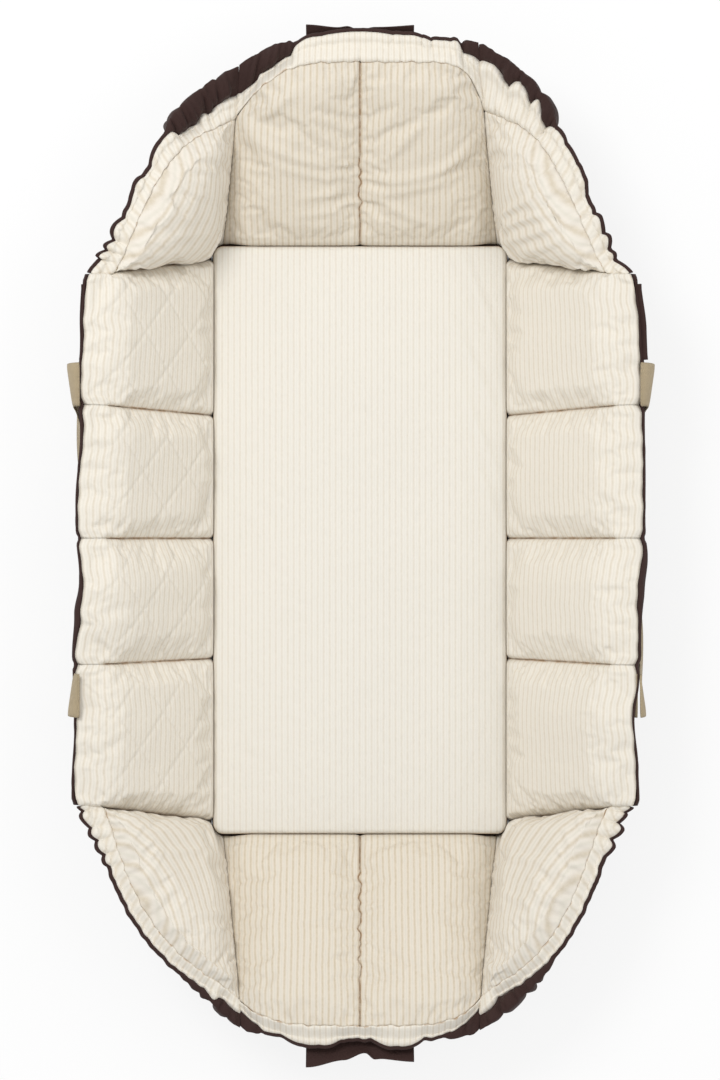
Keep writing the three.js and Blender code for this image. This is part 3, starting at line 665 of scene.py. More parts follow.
class Graph:
    """Short calls for the nodes of one material."""

    def __init__(self, name, roughness, sheen):
        self.material = bpy.data.materials.new(name)
        self.material.use_nodes = True
        self.nodes = self.material.node_tree.nodes
        self.links = self.material.node_tree.links
        self.shader = self.nodes["Principled BSDF"]
        self.shader.inputs["Roughness"].default_value = roughness
        self.shader.inputs["Sheen Weight"].default_value = sheen
        self.shader.inputs["Specular IOR Level"].default_value = SPECULAR

    def put(self, socket, value):
        if isinstance(value, bpy.types.NodeSocket):
            self.links.new(value, socket)
        elif value is not None:
            socket.default_value = value

    def math(self, operation, first, second=None, third=None):
        node = self.nodes.new("ShaderNodeMath")
        node.operation = operation
        for socket, value in zip(node.inputs, (first, second, third)):
            self.put(socket, value)
        return node.outputs[0]

    def mix(self, share, first, second):
        node = self.nodes.new("ShaderNodeMix")
        node.data_type = "RGBA"
        self.put(node.inputs["Factor"], share)
        self.put(node.inputs["A"], first)
        self.put(node.inputs["B"], second)
        return node.outputs["Result"]

    def noise(self, vector, scale, detail=2.0):
        node = self.nodes.new("ShaderNodeTexNoise")
        self.put(node.inputs["Vector"], vector)
        node.inputs["Scale"].default_value = scale
        node.inputs["Detail"].default_value = detail
        return node.outputs["Fac"]

    def place(self):
        return self.nodes.new("ShaderNodeTexCoord").outputs["Object"]

    def fabric(self):
        """Where a point lay on the flat cloth: across the stripes and along them, in metres."""
        node = self.nodes.new("ShaderNodeUVMap")
        node.uv_map = "fabric"
        parts = self.nodes.new("ShaderNodeSeparateXYZ")
        self.put(parts.inputs[0], node.outputs["UV"])
        return parts.outputs["X"], parts.outputs["Y"]

    def seam(self):
        """A point's distance from the nearest seam, in metres."""
        node = self.nodes.new("ShaderNodeAttribute")
        node.attribute_name = "seam"
        return node.outputs["Fac"]

    def fade(self, value, full, none):
        """One where the value is at full, nought where it is at none."""
        node = self.nodes.new("ShaderNodeMapRange")
        node.interpolation_type = "SMOOTHSTEP"
        self.put(node.inputs["Value"], value)
        node.inputs["From Min"].default_value = none
        node.inputs["From Max"].default_value = full
        return node.outputs["Result"]

    def between(self, value, low, high):
        """A value from nought to one as one from low to high."""
        return self.math("MULTIPLY_ADD", value, high - low, low)

    def cosine_wave(self, value, pitch):
        turns = self.math("MULTIPLY", value, 2 * math.pi / pitch)
        return self.math("COSINE", turns)

    def weave(self, across, along, pitch):
        return self.math("MULTIPLY", self.cosine_wave(across, pitch), self.cosine_wave(along, pitch))

    def crests(self, wave, sign, power):
        """Narrow stripes on the crests of a wave, or with a sign of minus one in its troughs."""
        return self.math("POWER", self.math("MULTIPLY_ADD", wave, sign / 2, 0.5), power)

    def bump(self, height, distance, before=None):
        node = self.nodes.new("ShaderNodeBump")
        self.put(node.inputs["Height"], height)
        node.inputs["Distance"].default_value = distance
        self.put(node.inputs["Normal"], before)
        return node.outputs["Normal"]

    def finish(self, colour, normal):
        self.put(self.shader.inputs["Base Color"], colour)
        self.put(self.shader.inputs["Normal"], normal)
        return self.material


def striped_cotton(use):
    """The lining's cloth. Each use of it has its own tone and stripe strength, which are painted light and
    shade: darker and warmer on the end walls.
    """
    graph = Graph(f"striped_cotton_{use}", roughness=0.92, sheen=0.12)
    across, along = graph.fabric()
    place = graph.place()
    drift = graph.math("MULTIPLY_ADD", graph.noise(place, scale=70.0), STRIPE_DRIFT, across)
    wave = graph.cosine_wave(drift, STRIPE_PITCH)
    strong = graph.crests(wave, 1, STRIPE_POWERS["tan"])
    weak = graph.crests(wave, -1, STRIPE_POWERS["grey"])
    worn = graph.fade(graph.noise(place, scale=260.0, detail=3.0), full=0.75, none=0.25)
    strong = graph.math("MULTIPLY", strong, graph.between(worn, STRIPE_WEAR, 1))
    tone = graph.noise(place, scale=9.0)
    # The use's cream carries its painted light and shade; the noise varies its tone at random.
    ground = graph.mix(tone, linear(LIT_AND_SHADED_CREAMS[use]), shaded(LIT_AND_SHADED_CREAMS[use], CREAM_UNEVENNESS))
    strength = STRIPE_STRENGTHS[use]
    colour = graph.mix(graph.math("MULTIPLY", strong, strength), ground, linear(STRIPE_TAN))
    colour = graph.mix(graph.math("MULTIPLY", weak, strength * GREY_SHARE), colour, linear(STRIPE_GREY))
    # Near a seam the colour is mixed towards tan: the thread, and painted shade for the crease.
    uneven = graph.between(graph.fade(graph.noise(place, scale=110.0), full=0.62, none=0.38), *SEAM_THREAD_AND_SHADE_PATCHES)
    stitched = graph.math("MULTIPLY", graph.fade(graph.seam(), *SEAM_THREAD_AND_SHADE_REACH), uneven)
    colour = graph.mix(stitched, colour, linear(SEAM_TAN))
    normal = graph.bump(graph.noise(place, scale=55.0, detail=3.0), distance=0.0016)
    normal = graph.bump(graph.math("ADD", strong, weak), distance=0.0001, before=normal)
    normal = graph.bump(graph.weave(across, along, COTTON_THREAD), distance=0.00003, before=normal)
    return graph.finish(colour, normal)


def dark_cotton():
    graph = Graph("dark_cotton", roughness=0.72, sheen=0.06)
    place = graph.place()
    colour = graph.mix(graph.noise(place, scale=30.0, detail=4.0), linear(DARK_BROWN), linear(DARK_THREAD))
    thread = graph.weave(*graph.fabric(), DARK_THREAD_PITCH)
    colour = graph.mix(graph.fade(thread, full=1.0, none=-0.4), colour, shaded(DARK_BROWN, DARK_CREST))
    normal = graph.bump(graph.noise(place, scale=45.0, detail=3.0), distance=0.002)
    normal = graph.bump(thread, distance=0.00005, before=normal)
    return graph.finish(colour, normal)


def woven_webbing():
    graph = Graph("woven_webbing", roughness=0.8, sheen=0.15)
    across, along = graph.fabric()
    zigzag = graph.math("PINGPONG", across, WEBBING_ZIGZAG)
    twill = graph.cosine_wave(graph.math("ADD", along, zigzag), WEBBING_TWILL)
    cords = graph.cosine_wave(across, WEBBING_CORDS)
    shade = graph.fade(graph.math("MULTIPLY", twill, cords), full=1.0, none=-1.0)
    tone = graph.noise(graph.place(), scale=40.0)
    ground = graph.mix(tone, linear(WEBBING_BEIGE), shaded(WEBBING_BEIGE, WEBBING_UNEVENNESS))
    colour = graph.mix(graph.math("MULTIPLY", shade, WEBBING_SHADE_SHARE), linear(WEBBING_SHADE), ground)
    normal = graph.bump(twill, distance=0.0002)
    normal = graph.bump(cords, distance=0.0001, before=normal)
    return graph.finish(colour, normal)


def plain_stuff(name, colour, roughness, grain, depth):
    graph = Graph(name, roughness, sheen=0.1)
    tone = graph.noise(graph.place(), scale=grain, detail=4.0)
    toned = graph.mix(tone, linear(colour), shaded(colour, PLAIN_UNEVENNESS))
    return graph.finish(toned, graph.bump(tone, depth))


def add_floor():
    graph = Graph("floor", roughness=0.9, sheen=0.0)
    tone = graph.noise(graph.place(), scale=3.0)
    graph.finish(graph.mix(tone, linear(FLOOR_WHITE), shaded(FLOOR_WHITE, FLOOR_UNEVENNESS)), None)
    show_white(graph.material.node_tree, graph.shader, "ShaderNodeEmission", FLOOR_GLOW, "Material Output")
    corners = FLOOR_HALF * np.array([(-1, -1, 0), (1, -1, 0), (1, 1, 0), (-1, 1, 0)])
    floor = add_mesh("floor", corners, np.array([(0, 1, 2, 3)]))
    floor.location.z = FLOOR_LEVEL
    floor.data.materials.append(graph.material)


# Shapes. Arrays of places end in an axis of three.

def smooth(value):
    value = np.clip(value, 0, 1)
    return value * value * (3 - 2 * value)


def lerp(low, high, share):
    return low + (high - low) * share


def round_over(distance, radius):
    """A quarter circle: nought on an edge, one from the radius inwards, and steep at the edge."""
    share = np.clip(distance / radius, 0, 1)
    return np.sqrt(1 - (1 - share) ** 2)


def edge_crown(distance, low):
    """A pad's height in from its edge, as a share of the whole: tight at first and then gentle."""
    tight, gentle = round_over(distance, SEAM_ROUND), round_over(distance, CROWN_ROUND)
    return lerp(low, 1, TIGHT_SHARE * tight + (1 - TIGHT_SHARE) * gentle)


def soft_crown(distance, low):
    """A pad's height in from a soft border: it starts gently."""
    return lerp(low, 1, np.sin(np.pi / 2 * np.clip(distance / SOFT_ROUND, 0, 1)))


def unit(vectors):
    return vectors / np.maximum(np.linalg.norm(vectors, axis=-1, keepdims=True), NO_LENGTH)


def shares(count):
    return np.linspace(0, 1, count)


def grid_shares(width, height, pitch):
    """Shares across and up that divide a patch into squares of about the pitch, as two grids."""
    columns = max(3, round(width / pitch) + 1)
    rows = max(3, round(height / pitch) + 1)
    across, up = np.meshgrid(shares(columns), shares(rows))
    return across, up


def through(keys, share):
    """A smooth line through (share, value) pairs."""
    places, values = np.array(keys).T
    slots = np.clip(np.searchsorted(places, share, side="right") - 1, 0, len(places) - 2)
    inside = (share - places[slots]) / (places[slots + 1] - places[slots])
    return lerp(values[slots], values[slots + 1], smooth(inside))


def fold_height(first, second, folds):
    """Height of a cloth's folds at places on it. A fold is (start, middle, end, width, height)."""
    total = np.zeros_like(first)
    for start, middle, end, width, height in folds:
        start, middle, end = (np.array(p) for p in (start, middle, end))
        steps = shares(FOLD_STEPS)[:, None]
        line = (1 - steps) ** 2 * start + 2 * steps * (1 - steps) * middle + steps**2 * end
        nearest = np.full(first.shape, np.inf)
        share = np.zeros_like(first)
        for index in range(len(line) - 1):
            here, step = line[index], line[index + 1] - line[index]
            part = ((first - here[0]) * step[0] + (second - here[1]) * step[1]) / (step @ step)
            part = np.clip(part, 0, 1)
            gap = np.hypot(first - here[0] - part * step[0], second - here[1] - part * step[1])
            closer = gap < nearest
            nearest = np.where(closer, gap, nearest)
            share = np.where(closer, (index + part) / (len(line) - 1), share)
        trough = FOLD_TROUGH * np.exp(-((nearest / (FOLD_TROUGH_REACH * width)) ** 2))
        ridge = np.exp(-((nearest / width) ** 2)) - trough
        total += height * ridge * np.sin(np.pi * np.clip(share, FOLD_TIP, 1 - FOLD_TIP)) ** FOLD_FULLNESS
    return total


def ripple(place, seed, wavelengths):
    """A smooth irregular wave between about minus one and one."""
    draws = np.random.default_rng(seed)
    total = np.zeros_like(place)
    for wavelength in wavelengths:
        total += np.sin(2 * np.pi * (place / wavelength + draws.random()))
    return total / len(wavelengths)


class Lobes:
    """Gathered cloth along a stretch: uneven peaked lobes between sharp pleats."""

    def __init__(self, length, low, high, seed, pleats=()):
        draws = np.random.default_rng(seed)
        edges = [0.0]
        for pleat in (*pleats, length):
            while pleat - edges[-1] > high:
                wanted = lerp(low, high, draws.random() ** LOBE_LENGTH_POWER)
                edges.append(edges[-1] + min(wanted, pleat - edges[-1] - low))
            edges.append(pleat)
        self.edges = np.array(edges)
        count = len(edges) - 1
        self.sizes = draws.uniform(*LOBE_SIZES, count)
        self.peaks = draws.uniform(*LOBE_PEAKS, count)
        self.steeps = draws.uniform(*LOBE_STEEPS, count)
        self.cusps = draws.uniform(*LOBE_CUSPS, count + 1)
        self.tops = draws.uniform(*LOBE_TOPS, count)

    def at(self, place):
        """Of each place: its lobe, and its share of the way up to the lobe's peak, from either side."""
        slot = np.clip(np.searchsorted(self.edges, place, side="right") - 1, 0, len(self.sizes) - 1)
        share = np.clip((place - self.edges[slot]) / (self.edges[slot + 1] - self.edges[slot]), 0, 1)
        peak = self.peaks[slot]
        return slot, share > peak, np.minimum(share / peak, (1 - share) / (1 - peak))

    def arch(self, place, sharpness=0.5):
        """One on a lobe's crest and nought in a pleat."""
        slot, _, climb = self.at(place)
        return np.sin(climb * np.pi / 2) ** (sharpness * self.steeps[slot])

    def size(self, place):
        return self.sizes[self.at(place)[0]]

    def drop(self, place):
        """How far a gathered edge falls short of its full height, as a share of the deepest pleat."""
        slot, past_peak, climb = self.at(place)
        cusp = self.cusps[slot + past_peak]
        return lerp(cusp, self.tops[slot], climb ** (LOBE_DROP_POWER * self.steeps[slot]))


# Meshes. A body closes the space between a front and a back grid of places.

def grid_faces(index):
    return np.stack([index[:-1, :-1], index[:-1, 1:], index[1:, 1:], index[1:, :-1]], axis=-1).reshape(-1, 4)


def strip_faces(first, second):
    return grid_faces(np.stack([first, second]))


def finer(grid, axis):
    """A grid with a place added between every two along an axis, on a smooth curve through its neighbours."""
    grid = np.moveaxis(grid, axis, 0)
    before = np.concatenate([2 * grid[:1] - grid[1:2], grid[:-2]])
    beyond = np.concatenate([grid[2:], 2 * grid[-1:] - grid[-2:-1]])
    middle = (9 * (grid[:-1] + grid[1:]) - before - beyond) / 16
    result = np.empty((2 * len(grid) - 1, *grid.shape[1:]))
    result[0::2] = grid
    result[1::2] = middle
    return np.moveaxis(result, 0, axis)


def grid_normals(front, back=None):
    """Unit normals of a front grid. With a back grid they point away from it."""
    normals = unit(np.cross(np.gradient(front, axis=1), np.gradient(front, axis=0)))
    if back is not None and ((front - back) * normals).sum() < 0:
        return -normals
    return normals


def add_mesh(name, points, faces):
    mesh = bpy.data.meshes.new(name)
    mesh.from_pydata(points.tolist(), [], faces.tolist())
    piece = bpy.data.objects.new(name, mesh)
    bpy.context.scene.collection.objects.link(piece)
    return piece


class Body:
    """A closed body of quads. Its grids share their border if they are joined; else an edge lies between."""

    def __init__(self, front, back, flat, joined):
        rows, columns = front.shape[:2]
        self.front = np.arange(rows * columns).reshape(rows, columns)
        self.back = self.front + rows * columns
        self.points = np.concatenate([front.reshape(-1, 3), back.reshape(-1, 3)])
        self.flat = np.concatenate([flat.reshape(-1, 3)] * 2)
        self.joined = joined
        if joined:
            for border in (np.s_[[0, -1], :], np.s_[:, [0, -1]]):
                self.back[border] = self.front[border]
        outward = self.volume(self.faces(0, columns - 1))
        self.flip = outward < 0

    def faces(self, first, last):
        """The faces between two columns, closed at both."""
        front, back = self.front[:, first : last + 1], self.back[:, first : last + 1]
        parts = [grid_faces(front), grid_faces(back)[:, ::-1]]
        if not self.joined:
            parts += [strip_faces(back[0], front[0]), strip_faces(front[-1], back[-1])]
        outer = self.front.shape[1] - 1
        if first > 0 or not self.joined:
            parts.append(strip_faces(front[:, 0], back[:, 0]))
        if last < outer or not self.joined:
            parts.append(strip_faces(back[:, -1], front[:, -1]))
        faces = np.concatenate(parts)
        spread = np.sort(faces, axis=1)
        return faces[(np.diff(spread, axis=1) > 0).all(axis=1)] if self.joined else faces

    def volume(self, faces):
        a, b, c, d = (self.points[faces[:, i]] for i in range(4))
        return (np.cross(a, b) * c).sum() + (np.cross(a, c) * d).sum()

    def vertex_normals(self, faces):
        a, b, c, d = (self.points[faces[:, i]] for i in range(4))
        normal = np.cross(c - a, d - b)
        total = np.zeros_like(self.points)
        for corner in range(4):
            np.add.at(total, faces[:, corner], normal)
        return unit(total)

    def piece(self, name, material, slot, columns=None):
        """The piece between two columns, or the whole. A part keeps the whole's normals at its cut."""
        outer = self.front.shape[1] - 1
        whole = self.faces(0, outer)
        faces = self.faces(*columns) if columns else whole
        if self.flip:
            faces, whole = faces[:, ::-1], whole[:, ::-1]
        used, faces = np.unique(faces, return_inverse=True)
        faces = faces.reshape(-1, 4)
        piece = add_mesh(name, self.points[used], faces)
        mesh = piece.data
        mesh.shade_smooth()
        mesh.materials.append(material)
        layer = mesh.uv_layers.new(name="fabric")
        layer.data.foreach_set("uv", self.flat[used][faces.ravel(), :2].astype(np.float32).ravel())
        seam = mesh.attributes.new("seam", "FLOAT", "POINT")
        seam.data.foreach_set("value", self.flat[used][:, 2].astype(np.float32))
        if columns:
            mesh.normals_split_custom_set_from_vertices(self.vertex_normals(whole)[used].tolist())
        return piece

    def halves(self, names, material, slot):
        last = self.front.shape[1] - 1
        ranges = ((0, last // 2), (last // 2, last))
        return [self.piece(name, material, slot, part) for name, part in zip(names, ranges)]


def sheet_body(surface, flat, thickness=CLOTH_THICKNESS):
    """A sheet about a surface."""
    half = grid_normals(surface) * thickness / 2
    return Body(surface - half, surface + half, flat, joined=False)


def ribbon_body(centres, wides, width, thickness, columns=11):
    """A flat strap along a line of centres. Its edges are thinner than its middle."""
    side = np.linspace(-1, 1, columns)
    surface = centres[:, None] + wides[:, None] * (side * width / 2)[None, :, None]
    normal = grid_normals(surface)
    swell = (thickness / 2 * (1 - RIBBON_THINNING * side**RIBBON_FLATNESS))[None, :, None]
    steps = np.linalg.norm(np.diff(centres, axis=0), axis=-1)
    run = np.concatenate([[0], np.cumsum(steps)])
    flat = np.stack(np.broadcast_arrays((side * width / 2)[None, :], run[:, None], 1.0), axis=-1)
    return Body(surface - normal * swell, surface + normal * swell, flat, joined=False)


def tube(centres, radius, sides=10):
    """Places and faces of a closed ring of cord round a level loop of centres."""
    ahead = np.roll(centres, -1, axis=0) - np.roll(centres, 1, axis=0)
    outward = unit(np.cross(ahead, (0, 0, 1)))
    turn = np.linspace(0, 2 * np.pi, sides, endpoint=False)
    ring = outward[:, None] * np.cos(turn)[None, :, None] + np.array((0, 0, 1)) * np.sin(turn)[None, :, None]
    points = (centres[:, None] + ring * radius).reshape(-1, 3)
    index = np.arange(len(points)).reshape(len(centres), sides)
    index = np.concatenate([index, index[:1]])
    index = np.concatenate([index, index[:, :1]], axis=1)
    return points, grid_faces(index)


# Cloth simulation

def inflate(pads):
    """Blows pads up as cloth that is pinned along its seams and a little longer than its pattern."""
    scene = bpy.context.scene
    started = []
    for pad in pads:
        body = Body(pad.front, pad.back, pad.flat, joined=True)
        faces = body.faces(0, body.front.shape[1] - 1)
        used, renumbered = np.unique(faces, return_inverse=True)
        renumbered = renumbered.reshape(-1, 4)
        if body.flip:
            renumbered = renumbered[:, ::-1]
        piece = add_mesh(pad.name + "_start", body.points[used], renumbered)
        fixed = np.ones(len(body.points), bool)
        fixed[body.front[PINNED_ROWS:-1, 1:-1]] = False
        group = piece.vertex_groups.new(name="pinned")
        group.add(np.flatnonzero(fixed[used]).tolist(), 1.0, "REPLACE")
        add_cloth(piece)
        started.append((pad, piece, body, used))
    for step in range(1, SIM_FRAMES + 1):
        scene.frame_set(step)
    depsgraph = bpy.context.evaluated_depsgraph_get()
    for pad, piece, body, used in started:
        shaped = piece.evaluated_get(depsgraph).to_mesh()
        values = np.zeros(len(shaped.vertices) * 3, np.float32)
        shaped.vertices.foreach_get("co", values)
        points = body.points.copy()
        points[used] = values.reshape(-1, 3)
        pad.settle(points[body.front])
    for _, piece, _, _ in started:
        piece.modifiers.clear()
        bpy.data.objects.remove(piece)
    scene.frame_set(1)


def add_cloth(piece):
    cloth = piece.modifiers.new("cloth", "CLOTH")
    settings = cloth.settings
    settings.vertex_group_mass = "pinned"
    settings.quality = 5
    settings.mass = 0.2
    settings.tension_stiffness = 20
    settings.compression_stiffness = 12
    settings.shear_stiffness = 6
    settings.bending_stiffness = 0.25
    settings.use_pressure = True
    settings.uniform_pressure_force = SIM_PRESSURE
    settings.shrink_min = -SIM_SPARE
    settings.effector_weights.gravity = 0
    cloth.point_cache.frame_start = 1
    cloth.point_cache.frame_end = SIM_FRAMES


class Pad:
    """A pad in the making: its grids, each place's spot on the pattern, and its folds."""

    quilted = False
    room = None

    def __init__(self, name, front, back, flat, spots, folds):
        self.name = name
        self.front = front
        self.back = back
        self.flat = flat
        self.spots = spots
        self.folds = folds

    def settle(self, blown):
        """Takes blown-up places, none of them further off than the cap."""
        moved = blown - self.front
        distance = np.linalg.norm(moved, axis=-1, keepdims=True)
        self.front = self.front + moved * np.minimum(1, SIM_CAP / np.maximum(distance, TINY))

    def finish(self):
        """Makes the grids finer and presses the folds in."""
        for grid in ("front", "back", "flat", "spots", "free"):
            setattr(self, grid, finer(finer(getattr(self, grid), 0), 1))
        self.flat[..., 2] = np.maximum(self.flat[..., 2], 0)
        first, second = self.spots[..., 0], self.spots[..., 1]
        height = fold_height(first, second, self.folds)
        if self.quilted:
            height = height - quilting(first, second)
        free = smooth(self.free / FOLD_FREE)
        self.front = self.front + grid_normals(self.front, self.back) * (height * free)[..., None]
        if self.room:
            self.front = self.room(self.front)
        return Body(self.front, self.back, self.flat, joined=True)


def quilting(first, second):
    """The depth of diamond quilting at a place."""
    groove = np.zeros_like(first)
    for turned in (first + QUILT_LEAN * second, first - QUILT_LEAN * second):
        distance = np.abs((turned / QUILT_PITCH + 0.5) % 1 - 0.5) * QUILT_PITCH
        groove = np.maximum(groove, np.exp(-((distance / QUILT_WIDTH) ** 2)))
    return QUILT_DEPTH * groove


def pucker_folds(draws, start, end, inward, count, reach, height):
    """Short uneven folds that run into a pad from the seam between two spots."""
    start, end, inward = (np.array(p, float) for p in (start, end, inward))
    along = (end - start) / np.linalg.norm(end - start)
    folds = []
    for slot in range(count):
        share = (slot + draws.uniform(*PUCKER_PLACES)) / count
        root = start + (end - start) * share
        tip = root + (inward + along * draws.uniform(*PUCKER_SLANTS)) * reach * draws.uniform(*PUCKER_REACHES)
        middle = (root + tip) / 2 + along * draws.uniform(*PUCKER_BENDS) * reach
        width = draws.uniform(*PUCKER_WIDTHS)
        folds.append((root, middle, tip, width, height * draws.uniform(*PUCKER_HEIGHTS)))
    return folds


def cloth_taken(distance, thickness, low):
    """How much cloth a pad's rounded edge takes up beyond its plan length, from a place inwards."""
    steps = np.linspace(0, CROWN_ROUND, CLOTH_STEPS)
    rise = thickness * edge_crown(steps, low)
    arc = np.concatenate([[0], np.cumsum(np.hypot(np.diff(steps), np.diff(rise)))])
    extra = arc - steps
    return extra[-1] - np.interp(distance, steps, extra)


# Walls

def pivot_of(joint):
    return next(j for j in frame["joints"] if j["name"] == joint)["pos_m"]


class Wall:
    """A wall's own frame: out through the wall, along it, and up its slope from the seam at the base."""

    def __init__(self, body, joint, turn, tilt):
        pivot = pivot_of(joint)
        self.body = body
        self.joint = joint
        self.hinge = math.hypot(pivot[0], pivot[1])
        self.level = pivot[2]
        self.turn = turn
        self.tilt = tilt

    def point(self, out, along, up):
        out = out + self.lean(along) * np.asarray(up) / LEAN_HEIGHT
        reach = self.hinge + up * math.sin(self.tilt) + out * math.cos(self.tilt)
        height = self.level + up * math.cos(self.tilt) - out * math.sin(self.tilt)
        x = reach * math.cos(self.turn) - along * math.sin(self.turn)
        y = reach * math.sin(self.turn) + along * math.cos(self.turn)
        return np.stack(np.broadcast_arrays(x, y, height), axis=-1)

    def lean(self, along):
        """How far out the rim leans at a place along the wall."""
        return through(LEANS[self.body], np.asarray(along, float))

    def span(self, node):
        """Lowest and highest out, along and up of a CAD node, which stands on the wall's plain tilt."""
        places = np.array([v.co for v in frame["nodes"][node].data.vertices], float)
        local = np.stack(self.plain(places), axis=-1)
        return local.min(0), local.max(0)

    def local(self, places):
        """Out, along and up of places on the wall as its rim leans."""
        out, along, up = self.plain(places)
        return out - self.lean(along) * up / LEAN_HEIGHT, along, up

    def plain(self, places):
        """Out, along and up of places on the wall's plain tilt."""
        reach = places[..., 0] * math.cos(self.turn) + places[..., 1] * math.sin(self.turn) - self.hinge
        along = places[..., 1] * math.cos(self.turn) - places[..., 0] * math.sin(self.turn)
        height = places[..., 2] - self.level
        out = reach * math.cos(self.tilt) - height * math.sin(self.tilt)
        up = reach * math.sin(self.tilt) + height * math.cos(self.tilt)
        return out, along, up

    def kept_clear(self, places):
        """Places moved out where they would meet the mattress's side."""
        out, along, up = self.local(places)
        limit = -PAD_BACK - np.maximum(self.room(up, along), 0)
        return self.point(np.maximum(out, limit), along, up)

    def squash(self, piece, keep):
        """Works out the wall's hinge and its outward direction, and gives a pad its own copy of its mesh."""
        anchor = self.point(0, 0, 0)
        axis = unit(self.point(1, 0, 0) - anchor)
        tuple(anchor)
        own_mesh(piece)

    def room(self, up, along):
        """How thick a pad may be before it meets the mattress's side."""
        margin = self.margin - MATTRESS_CLEARANCE
        lean = self.lean(along) * up / LEAN_HEIGHT
        return (margin + up * math.sin(self.tilt)) / math.cos(self.tilt) + lean


right = Wall("right_wall", "right_wall_fold", 0.0, SIDE_TILT)
left = Wall("left_wall", "left_wall_fold", math.pi, SIDE_TILT)
head = Wall("head_end", "head_fold", math.pi / 2, END_TILT)
foot = Wall("foot_end", "foot_fold", -math.pi / 2, END_TILT)

SIDE_WALLS = ((right, "right"), (left, "left"))
END_WALLS = ((head, "head"), (foot, "foot"))

mattress_low, mattress_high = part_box("mattress_cover")
for wall in (right, left):
    wall.margin = wall.hinge - mattress_high.x
for wall in (head, foot):
    wall.margin = wall.hinge - mattress_high.y

side_low, side_high = right.span("right_wall_shell")
band_low, band_high = right.span("right_wall_band")
WALL_START = side_low[2]
SIDE_HEIGHT = side_high[2]
SIDE_PAD_TOP = band_low[2]
SIDE_FOOT_HALF = side_high[1]
SIDE_TOP_HALF = band_high[1]
END_FOOT_HALF = head.span("head_shell")[1][1]


def side_edge(up):
    return lerp(SIDE_FOOT_HALF, SIDE_TOP_HALF, up / SIDE_HEIGHT)


def end_edge(up):
    return lerp(END_FOOT_HALF, END_TOP_HALF, up / END_EDGE_TOP)


def end_seam(wall, across):
    """How high the top seam of an end wall's pads runs: almost level, and falling at its corners."""
    names = [corner_at(wall, sign)[0].name for sign in (-1, 1)]
    lows = [END_SEAM_CORNERS[name] for name in names]
    falls = [SEAM_FALLS[name] for name in names]
    first = across < 0.5
    share = np.abs(2 * across - 1) ** np.where(first, *falls)
    return lerp(END_SEAM_HEIGHTS[wall.body], np.where(first, *lows), share) + wander(across)


def wander(across):
    """How far a gathered seam strays from its line. It doesn't at its ends."""
    place = 2 * END_TOP_HALF * across
    held = smooth(np.minimum(across, 1 - across) / WANDER_FADE)
    return SEAM_WANDER * ripple(place, SEEDS["seam"], SEAM_WANDER_WAVES) * held


# Pads of the walls

def side_seam(number, headward, up):
    """The seam between side pads, counted from the foot end of a wall to its head end."""
    at_base, at_rim = SIDE_SEAMS[number]
    return (1 if headward else -1) * lerp(at_base, at_rim, np.asarray(up) / SIDE_HEIGHT)


def side_profile(up, thickness):
    """A side pad's thickness: even up to a bend near the rim, from which it runs almost level to the rim."""
    to_rim = RIM_THICKNESS + (SIDE_HEIGHT - up) * RIM_SLOPE
    return -BEND_BLEND * np.log(np.exp(-thickness / BEND_BLEND) + np.exp(-to_rim / BEND_BLEND))


